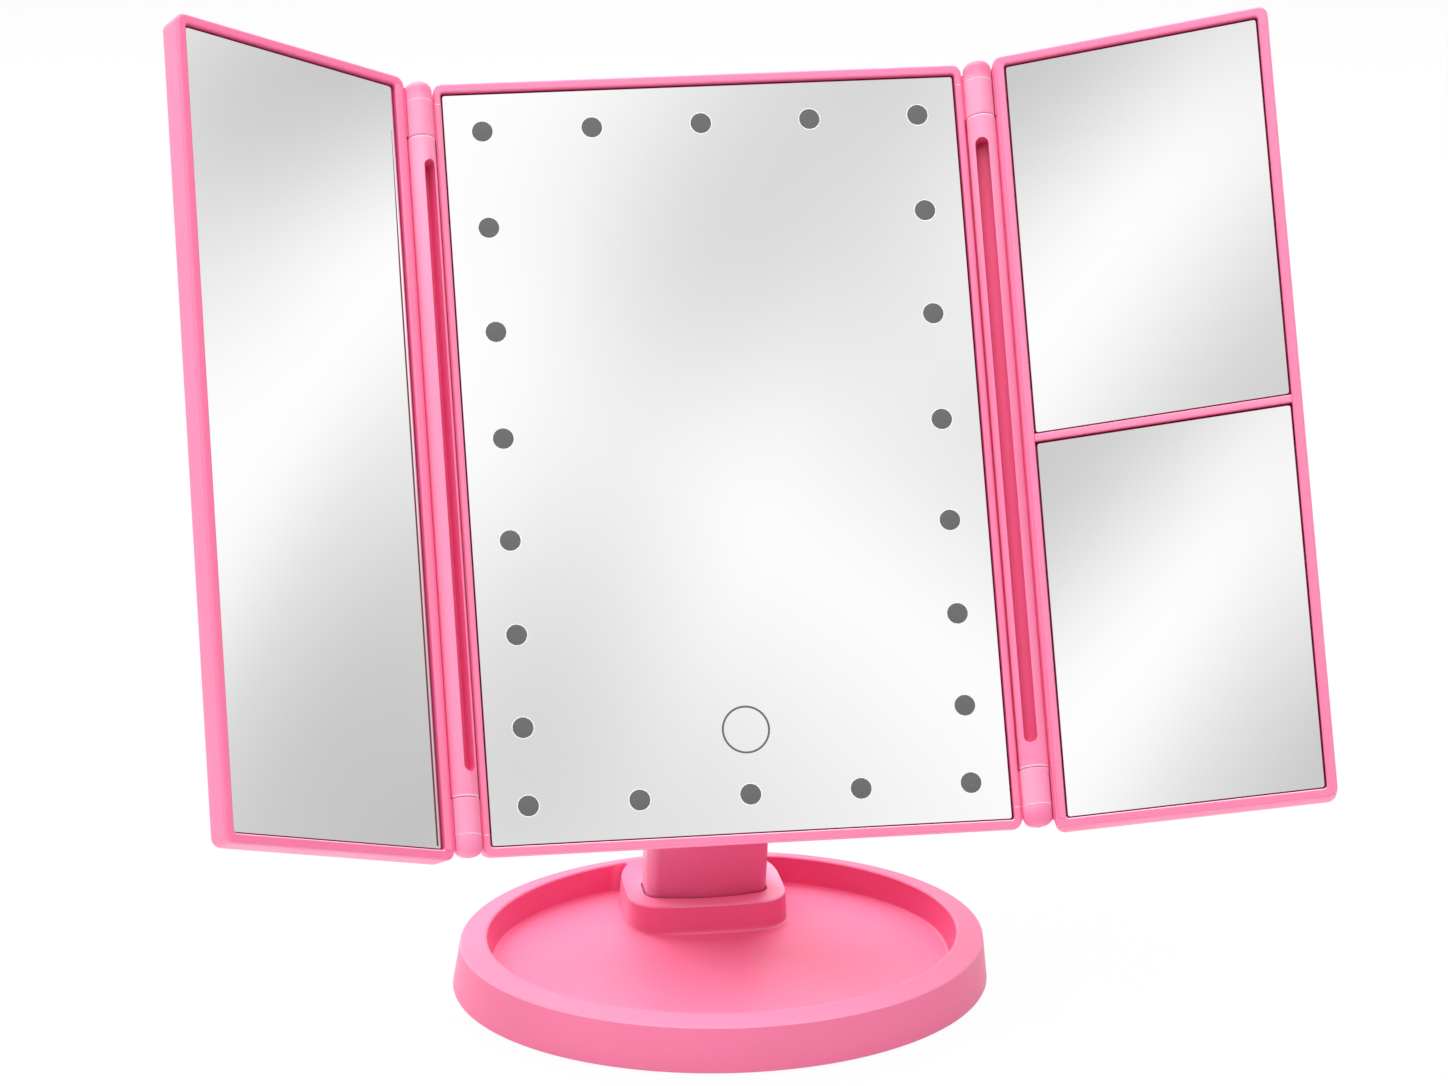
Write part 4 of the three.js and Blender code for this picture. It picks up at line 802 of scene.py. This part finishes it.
# Wings
wing = {
    "inner": panel["barrelRadius"] + panel["turnGap"], "outer": panel["hingeX"] - 0.4, "depth": 8.6,
    "backRound": 1.2, "hingeLip": 3.6, "outerLip": 3.0, "band": 1.3, "bead": 0.22, "barrelEdge": 0.3,
    "seamGap": 0.17, "guardInner": 4.65, "guardOuter": 5.4, "slotHalf": 1.95, "slotFromSeam": 7.7,
    "slotFloor": 0.2, "slotRound": 0.3, "dividerHalf": 1.25, "dividerDrop": 0.3,
    "halfZ": panel["halfZ"] + 0.98, "webInner": 2.6, "guardTurn": (3, 50), "guardGap": 0.3, "guardTop": 3.4,
}
wingGlassX = (wing["inner"] + wing["hingeLip"] + 0.3, wing["outer"] - wing["outerLip"] - 0.3)
# Painted light of the wings, barrels and divider: above 0 painted shade, below 0 a painted highlight
wingPaintedLight = {
    -1: {"lip": 0.3, "band": 0.0, "barrelSlope": 0.2, "slot": 0.95},
    1: {"lip": 0.08, "band": 0.45, "barrelSlope": 0.04, "slot": 1.15},
}
barrelPaintedLight = {
    "plain": -0.02, "upper": -0.25, "upperFrom": 40, "upperFull": 85, "slotTop": 0.7, "slotTopInset": 6,
    "slotTopSpread": 4, "slot": [1, 1, 1, 0.9, 0.4], "edge": -1.1, "guard": 0.8, "web": [1, 1],
}
dividerPaintedLight = [2.2, 1.4, 0.5, 0, -0.1]


def barrelSections():
    # Cross-sections of the barrel and their heights. Each is the barrel's circle with a slot of half width
    # w let in; near the slot's ends w follows a half circle down to nothing.
    radius, half, floor = panel["barrelRadius"], wing["slotHalf"], wing["slotFloor"]
    slotEnd = seamZ - wing["slotFromSeam"] - half
    swing = np.linspace(0, np.pi / 2, 13)
    endZ = slotEnd + half * np.sin(swing)
    endW = half * np.cos(swing)
    middle = np.linspace(-slotEnd, slotEnd, 9)[1:-1]
    z = np.concatenate([-endZ[::-1], middle, endZ])
    w = np.concatenate([endW[::-1], np.full(len(middle), half), endW])
    w[[0, -1]] = 0.0
    fine = wing["slotRound"] * w / half
    level = np.full_like(w, floor)
    columns = [(w * 0, level), (w * 0.96, level), (w, level - 0.1)]
    mouth = -np.sqrt(radius ** 2 - (w + fine) ** 2)
    turn = np.linspace(0, np.pi / 2, 5)
    columns += [(w + fine * (1 - np.cos(t)), mouth + fine * (1 - np.sin(t))) for t in turn]
    edge = np.arcsin((w + fine) / radius)
    for share in np.linspace(0, 1, 34)[1:]:
        angle = edge + (np.pi - edge) * share
        columns.append((radius * np.sin(angle), -radius * np.cos(angle)))
    right = np.stack([np.stack(column, -1) for column in columns], 1)
    left = right[:, 1:-1][:, ::-1] * (-1, 1)
    return z, np.concatenate([right, left], 1)


def slottedBarrel(side):
    # Long barrel of a wing, then at each end a plain ring with a rounded edge.
    paintedShading, paintedLight, radius = wingPaintedLight[side], barrelPaintedLight, panel["barrelRadius"]
    z, section = barrelSections()
    grid = np.concatenate([section, np.broadcast_to(z[:, None, None], section.shape[:2] + (1,))], -1)
    # Painted light: the drum deeper to one side and lighter towards the top, painted shade in the slot, deepest
    # near its top end
    slope = paintedShading["barrelSlope"] * side / radius
    lifted = paintedLight["plain"] + paintedLight["upper"] * fade(z, paintedLight["upperFrom"], paintedLight["upperFull"])
    inside = np.zeros(grid.shape[1])
    inside[:5] = paintedLight["slot"]
    inside[-4:] = inside[4:0:-1]
    nearTop = (z[-1] - z - paintedLight["slotTopInset"]) / paintedLight["slotTopSpread"]
    along = paintedShading["slot"] + paintedLight["slotTop"] * np.exp(-nearTop ** 2)
    drumTone = slope * section[len(z) // 2, :, 0] + lifted[:, None]
    tones = np.outer(along, inside) + (1 - inside) * drumTone
    shells = [toned(shell(grid), tones.ravel())]
    tip, edge = seamZ - wing["seamGap"], wing["barrelEdge"]
    for end, row in ((-1, 0), (1, -1)):
        ring = section[row][7:-6]
        rows = [(0.0, abs(z[row])), (0.0, tip - edge - 0.4)]
        rows += [(a, tip - b) for a, b in zip(*edgeRound(edge, 4))] + [(1.0, tip)]
        stack = [
            np.column_stack([ring * (1 - a / radius), np.full(len(ring), end * height)])
            for a, height in rows
        ]
        ringTones = np.tile(lifted[row] + slope * ring[:, 0], (len(stack), 1))
        # Painted highlight on the rounded edge of each end
        ringTones[2:] = paintedLight["edge"]
        shells.append(toned(shell(np.stack(stack), capEnd=True), ringTones.ravel()))
    return shells


def wingGuards():
    # Thin curved walls behind the knuckles, round the hinge axis.
    shells = []
    turn = np.radians(np.linspace(*wing["guardTurn"], 12))[:, None]
    radius = np.array([wing["guardInner"], wing["guardOuter"]])[[0, 1, 1, 0]]
    for end in (-1, 1):
        height = end * np.array([seamZ + wing["guardGap"], wing["halfZ"] - wing["guardTop"]])[[0, 0, 1, 1]]
        arc = np.stack([radius * np.cos(turn), radius * np.sin(turn), np.broadcast_to(height, (12, 4))], -1)
        # Painted shade on the guards
        shells.append(toned(shell(arc, capStart=True, capEnd=True), [barrelPaintedLight["guard"]]))
    return shells


def buildWing(side):
    # Back, side and lip of the tray, its opening, the barrel with its web, and on the right the divider
    lip, tall, seat, paintedShading = panel["axisForward"], wing["halfZ"], panel["seat"], wingPaintedLight[side]
    glassTall = tall - panel["endLip"]
    outer = rectFrom((wing["inner"], wing["outer"]), (-tall, tall), panel["corner"])
    openX = (wingGlassX[0] - 0.3, wingGlassX[1] + 0.3)
    opening = rectFrom(openX, (-glassTall, glassTall), panel["openingCorner"])
    inset, drop = edgeRound(wing["backRound"], 7)
    back = lip + wing["depth"]
    steps = [(wing["backRound"] + 0.3, back)]
    steps += [(a, back - b) for a, b in zip(inset[::-1], drop[::-1])]
    rings = [rectStack(outer, steps + lipSteps(lip, wing["depth"] / 2))]
    rings.append(rectStack(opening, openingSteps(lip) + [(0.3, lip + seat)]))
    grid = np.concatenate(rings)
    # Painted light of the lip and band, set for each side
    tones = trayTones(grid, len(steps), paintedShading["lip"], paintedShading["band"])
    tones = hingeTones(tones, -grid[..., 0], grid[..., 1], -wing["inner"] - 0.02, lip + 0.6)
    shells = [toned(shell(grid, capStart=True, capEnd=True), tones)]
    shells += slottedBarrel(side) + wingGuards()
    tip = seamZ - wing["seamGap"]
    web = rectFrom((wing["webInner"], wing["inner"] + 0.8), (-tip, tip), 0.15)
    # Painted shade on the web
    shells.append(prism(web, [(0.0, lip + 3.6), (0.0, lip + 0.9)], barrelPaintedLight["web"]))
    bead = rectFrom((wing["inner"] + wing["band"], openX[0] - 0.05), (-glassTall, glassTall), 0.6)
    beadSteps = [(0.0, lip + 1.2), (0.0, lip + 0.1), (0.06, lip - 0.1), (0.25, lip - wing["bead"])]
    shells.append(prism(bead, beadSteps))
    if side > 0:
        half, top = wing["dividerHalf"], lip + wing["dividerDrop"]
        divider = rectFrom((openX[0] - 0.3, openX[1] + 0.3), (-half, half), 0.2)
        steps = [(0.0, lip + seat), (0.0, top + 0.6), (0.1, top + 0.25), (0.3, top + 0.07), (0.6, top)]
        # Painted shade deep at the divider's foot, fading to a faint painted highlight on its top
        shells.append(prism(divider, steps, dividerPaintedLight))
    name = f"{sideNames[side]}_wing"
    return addPiece(name, shells, pinkPlastic, name, fromWing(side), [name + "_tray"], 32)


for side in (-1, 1):
    buildWing(side)
print("wings made")


# Glasses
glassEdgeRound = 0.3
# Place of the thin dark painted reflection of the lip on the left wing's glass
paintedLipReflection = {"inset": 1.3, "fromTop": 14, "wideFromTop": 60, "fromFoot": 1, "widths": (0.1, 0.6, 0.7)}

# Painted reflection: each entry is a soft grey drift, fitted to the photo: centre, turn, radii across and along,
# and depth
centrePaintedReflection = [
    {"x": 259.1, "z": -92.0, "turn": 29.8, "across": 400.0, "along": 93.4, "depth": 0.370},
    {"x": 51.3, "z": 115.9, "turn": -38.7, "across": 155.4, "along": 91.8, "depth": 0.306},
    {"x": -50.8, "z": -115.7, "turn": 25.3, "across": 185.7, "along": 118.9, "depth": 0.243},
    {"x": -46.3, "z": -27.9, "turn": -66.3, "across": 179.0, "along": 54.3, "depth": 0.121},
]
leftPaintedReflection = [
    {"x": 75.5, "z": -99.7, "turn": 54.9, "across": 264.4, "along": 51.0, "depth": 0.336},
    {"x": -55.0, "z": 186.4, "turn": 42.2, "across": 193.3, "along": 71.2, "depth": 0.636},
    {"x": 28.9, "z": -128.6, "turn": 57.5, "across": 278.5, "along": 62.5, "depth": 0.460},
    {"x": 76.7, "z": 94.4, "turn": 55.6, "across": 128.1, "along": 71.3, "depth": 0.300},
]
upperPaintedReflection = [
    {"x": 69.4, "z": -10.6, "turn": 40.6, "across": 70.7, "along": 400.0, "depth": 0.342},
    {"x": 99.4, "z": 156.5, "turn": -44.3, "across": 121.7, "along": 61.1, "depth": 0.278},
    {"x": 7.9, "z": 126.3, "turn": 33.3, "across": 68.9, "along": 125.4, "depth": 0.413},
]
lowerPaintedReflection = [
    {"x": 107.2, "z": -99.8, "turn": -131.0, "across": 70.1, "along": 208.6, "depth": 0.421},
    {"x": -11.3, "z": -25.0, "turn": 139.7, "across": 400.0, "along": 65.5, "depth": 0.385},
    {"x": 208.8, "z": 163.4, "turn": 31.3, "across": 37.3, "along": 400.0, "depth": 0.189},
]


def buildGlass(node, rect, plane, body, place, paintedShading, withLipReflection=False):
    # Round-cornered plate whose front edge is ground, with the silver on its two faces
    front = plane + panel["glassDepth"]
    back = front + panel["glassThickness"]
    steps = [(0.0, back), (0.0, front + glassEdgeRound + 0.05), (0.08, front + 0.1), (glassEdgeRound, front)]
    shells = [prism(rect, steps)]
    if withLipReflection:
        # Thin dark painted reflection of the lip beside the hinge, which widens downwards
        z = rect["z1"] - np.array([paintedLipReflection["fromTop"], paintedLipReflection["wideFromTop"], 0])
        z[2] = rect["z0"] + paintedLipReflection["fromFoot"]
        x = rect["x0"] + paintedLipReflection["inset"] + np.stack([np.zeros(3), paintedLipReflection["widths"]], -1)
        line = np.stack([x, np.full((3, 2), front - 0.02), np.broadcast_to(z[:, None], (3, 2))], -1)
        shells.append(shell(line, wrap=False))
    name = node.replace("glass", "mirror")
    silver = mirrorMaterial(name + "_silver", paintedShading)
    piece = addPiece(name, shells, silver, body, place, [node], 20)
    # Quads of the ground edge and of the lip line take the dark red painted reflection
    piece.data.materials.append(glassEdge)
    for face in piece.data.polygons:
        face.material_index = 0 if len(face.vertices) > 4 else 1
    return piece


glassX, glassZ = panel["glassX"], panel["glassZ"]
centreRect = rectFrom((-glassX, glassX), (-glassZ, glassZ), panel["openingCorner"])
buildGlass("centre_glass", centreRect, 0.0, "head", fromPanel, centrePaintedReflection)
tall = wing["halfZ"] - panel["endLip"] - panel["glassGap"]
split = wing["dividerHalf"] + 0.3
wingGlasses = {
    "left_wing_glass": {"side": -1, "z": (-tall, tall), "paintedShading": leftPaintedReflection},
    "right_upper_glass": {"side": 1, "z": (split, tall), "paintedShading": upperPaintedReflection},
    "right_lower_glass": {"side": 1, "z": (-tall, -split), "paintedShading": lowerPaintedReflection},
}
for node, look in wingGlasses.items():
    side = look["side"]
    rect = rectFrom(wingGlassX, look["z"], panel["openingCorner"])
    body = f"{sideNames[side]}_wing"
    buildGlass(node, rect, panel["axisForward"], body, fromWing(side), look["paintedShading"], side < 0)
print("glasses made")


# Light windows and touch ring, just proud of the centre glass
lights = {
    "fromEdge": 12.0, "radius": 3.2, "halo": 0.28, "rise": 0.03, "rows": 5,
    "shares": [0.145, 0.301, 0.46, 0.611, 0.75, 0.886],
    "ringRadius": 7.4, "ringLine": 0.62, "ringHeight": 32.0,
}


def discAt(x, z, radii, sides=56):
    # Flat disc or ring in the plane of the panel, from (radius, depth below the rise) pairs.
    angle = np.linspace(0, 2 * np.pi, sides, endpoint=False)
    radius, lower = np.array(radii).T[:, :, None]
    depth = np.broadcast_to(panel["glassDepth"] - lights["rise"] + lower, (len(radii), sides))
    return np.stack([x + radius * np.cos(angle), depth, z + radius * np.sin(angle)], -1)


def buildLights():
    # Two rows along the ends of the glass and a column down each side, with shares of the column's height
    x = panel["glassX"] - lights["fromEdge"]
    z = panel["glassZ"] - lights["fromEdge"]
    places = [(across, end * z) for across in np.linspace(-x, x, lights["rows"]) for end in (-1, 1)]
    places += [(side * x, z - 2 * z * share) for side in (-1, 1) for share in lights["shares"]]
    radius = lights["radius"]
    window = [(radius, 0.1), (radius, 0.01), (radius - 0.05, 0)]
    halo = [(radius + lights["halo"], 0.1), (radius + lights["halo"], 0.02), (radius - 0.1, 0.02)]
    outer, inner = lights["ringRadius"], lights["ringRadius"] - lights["ringLine"]
    ring = [(outer, 0.1), (outer, 0), (inner, 0), (inner, 0.1)]
    touch = discAt(0, -panel["glassZ"] + lights["ringHeight"], ring, 96)
    pieces = {
        "light_windows": ([shell(discAt(*place, window), capEnd=True) for place in places], "frostedWindow"),
        "window_halos": ([shell(discAt(*place, halo)) for place in places], "etchedRing"),
        "touch_ring": ([shell(touch, loop=True)], "frostedWindow"),
    }
    for name, (shells, finish) in pieces.items():
        addPiece(name, shells, finishes[finish], "head", fromPanel, [], 40)


buildLights()
print("light windows made")


# Rear and underside pieces, as finer copies of the CAD pieces: name, body and width of the edge's round
refine("rear_housing", "rear_shell", pinkPlastic, "head", 0.3, reshape=draftHousing)
refined = {
    "battery_door": ("battery_lid", "battery_door", 0.2),
    "post_rear_cover": ("post_back", "stand", 0.25),
    "axle_cap_left": ("left_cap", "head", 0.25),
    "axle_cap_right": ("right_cap", "head", 0.25),
    "switch_slider": ("switch_knob", "switch", 0.1),
    "base_cover": ("underside_plate", "stand", 0.2),
}
for node, (name, body, width) in refined.items():
    refine(node, name, pinkPlastic, body, width)
for corner in ("rear_left", "rear_right", "front_left", "front_right"):
    refine(f"foot_{corner}", f"{corner}_pad", finishes["footRubber"], "stand", 0.25)

# The pieces that stay as the CAD has them take their finish from the record's slots
slotFinishes = {
    "pink_plastic": "pinkPlastic", "steel": "platedSteel", "circuit_board": "circuitBoard",
    "foot_rubber": "footRubber", "cell_wrap": "cellSleeve", "white_nylon": "whiteNylon",
}
for part in frame["record"]["subparts"]:
    node = frame["nodes"][part["node"]]
    node.data.materials.clear()
    finish = slotFinishes.get(part["material_slot"])
    node.data.materials.append(finishes[finish] if finish else glassEdge)
print("rear pieces and finishes set")


# Floor, backdrop, light and camera
def seenRays(tree):
    # 1 for rays that reach the eye directly, by a mirror or through glass.
    rays = addNode(tree, "LightPath").outputs
    total = rays["Is Camera Ray"]
    for name in ("Is Glossy Ray", "Is Transmission Ray"):
        total = addNode(tree, "Math", {0: total, 1: rays[name]}, operation="MAXIMUM").outputs["Value"]
    return total


def floorMaterial(seenShare=0.96):
    # To the eye and in the mirrors the floor is nearly as white as the backdrop, less a share of its shadow.
    material, tree, shader, output = newMaterial("paperFloor")
    paper = mixColour(tree, noise(tree, 900), (0.9, 0.9, 0.9, 1), (0.94, 0.94, 0.94, 1))
    feed(tree, shader, {"Base Color": paper, "Roughness": 0.9, "Specular IOR Level": 0})
    white = addNode(tree, "Emission", {"Strength": 1})
    share = addNode(tree, "Math", {0: seenRays(tree), 1: seenShare}, operation="MULTIPLY").outputs["Value"]
    mix = addNode(tree, "MixShader", {"Fac": share, 1: shader.outputs["BSDF"], 2: white.outputs["Emission"]})
    feed(tree, output, {"Surface": mix.outputs["Shader"]})
    return material


def buildFloor(reach=3.0, count=61):
    # Flat square grid at the height of the feet, in metres.
    line = np.linspace(-reach, reach, count)
    x, y = np.meshgrid(line, line)
    level = float(cadBounds("foot_front_left")[0][2]) * metre
    points, faces = shell(np.stack([x, y, np.full_like(x, level)], -1), wrap=False)
    mesh = bpy.data.meshes.new("floor")
    mesh.from_pydata(points.tolist(), [], faces)
    mesh.materials.append(floorMaterial())
    floor = bpy.data.objects.new("floor", mesh)
    scene.collection.objects.link(floor)


def buildWorld(seenStrength=1.0, softStrength=0.1):
    world = bpy.data.worlds.new("studio")
    scene.world = world
    world.use_nodes = True
    tree = world.node_tree
    tree.nodes.clear()
    soft, seen = [
        addNode(tree, "Background", {"Color": (1, 1, 1, 1), "Strength": strength}).outputs["Background"]
        for strength in (softStrength, seenStrength)
    ]
    mix = addNode(tree, "MixShader", {"Fac": seenRays(tree), 1: soft, 2: seen})
    addNode(tree, "OutputWorld", {"Surface": mix.outputs["Shader"]})


lampAim = Vector((0, 0, 0.13))


def areaLamp(name, look):
    data = bpy.data.lights.new(name, "AREA")
    data.shape = "DISK"
    data.size = look["size"]
    data.energy = look["watts"]
    lamp = bpy.data.objects.new(name, data)
    scene.collection.objects.link(lamp)
    lamp.location = Vector(look["at"])
    aim = lampAim - lamp.location
    lamp.rotation_euler = aim.to_track_quat("-Z", "Y").to_euler()
    lamp.visible_glossy = look.get("glossy", False)


lamps = {
    "key": {"at": (-1.1, -0.9, 1.5), "size": 0.9, "watts": 6.8},
    "lowLeft": {"at": (-1.3, -0.8, 0.25), "size": 0.8, "watts": 1.9},
    "fill": {"at": (1.4, -1.2, 0.8), "size": 1.2, "watts": 5.6},
    "top": {"at": (0.0, 0.3, 1.8), "size": 1.2, "watts": 13.5, "glossy": True},
    "topLeft": {"at": (-0.9, 0.0, 1.6), "size": 1.0, "watts": 5.5},
    "topFront": {"at": (0.0, -0.7, 1.7), "size": 1.0, "watts": 9},
    "topBack": {"at": (0.0, 1.0, 1.4), "size": 1.0, "watts": 13.5},
    "backLeft": {"at": (-1.0, 1.3, 0.95), "size": 1.2, "watts": 19},
    "backRight": {"at": (1.0, 1.3, 0.95), "size": 1.2, "watts": 6.5},
}
for name, look in lamps.items():
    areaLamp(name, look)

# The film lies aslant to the line of sight by these offsets, as in a picture cut from a wider one
cameraLook = {
    "azimuth": np.radians(-3.876), "elevation": np.radians(31.674), "roll": np.radians(1.406),
    "distance": 0.93437, "target": (-0.103325, -0.001348, -0.067706), "lens": 68.014, "film": 36.0,
    "offset": (0.21492, 0.43329),
}


def buildCamera():
    # The line of sight runs to the middle of the offset film. The slant sits in the link to the mount, so
    # a camera that is freed from the mount sees straight ahead.
    az, el, roll = cameraLook["azimuth"], cameraLook["elevation"], cameraLook["roll"]
    back = Vector((np.sin(az) * np.cos(el), -np.cos(az) * np.cos(el), np.sin(el)))
    right = Vector((np.cos(az), np.sin(az), 0))
    up = back.cross(right)
    across = np.cos(roll) * right - np.sin(roll) * up
    upward = np.sin(roll) * right + np.cos(roll) * up
    aside, above = cameraLook["offset"]
    slant = cameraLook["film"] * (aside * across + above * upward)
    sight = Vector(cameraLook["lens"] * np.array(back) - slant)
    data = bpy.data.cameras.new("camera")
    data.sensor_width = cameraLook["film"]
    data.lens = sight.length
    data.clip_end = 20
    camera = bpy.data.objects.new("camera", data)
    mount = bpy.data.objects.new("camera_mount", None)
    for item in (camera, mount):
        scene.collection.objects.link(item)
    turn = Matrix((across, upward, sight.normalized())).transposed()
    place = Vector(cameraLook["target"]) + back * cameraLook["distance"]
    camera.parent = mount
    camera.matrix_parent_inverse = Matrix.Translation(place) @ turn.to_4x4()
    scene.camera = camera


buildFloor()
buildWorld()
buildCamera()
print("stage set")
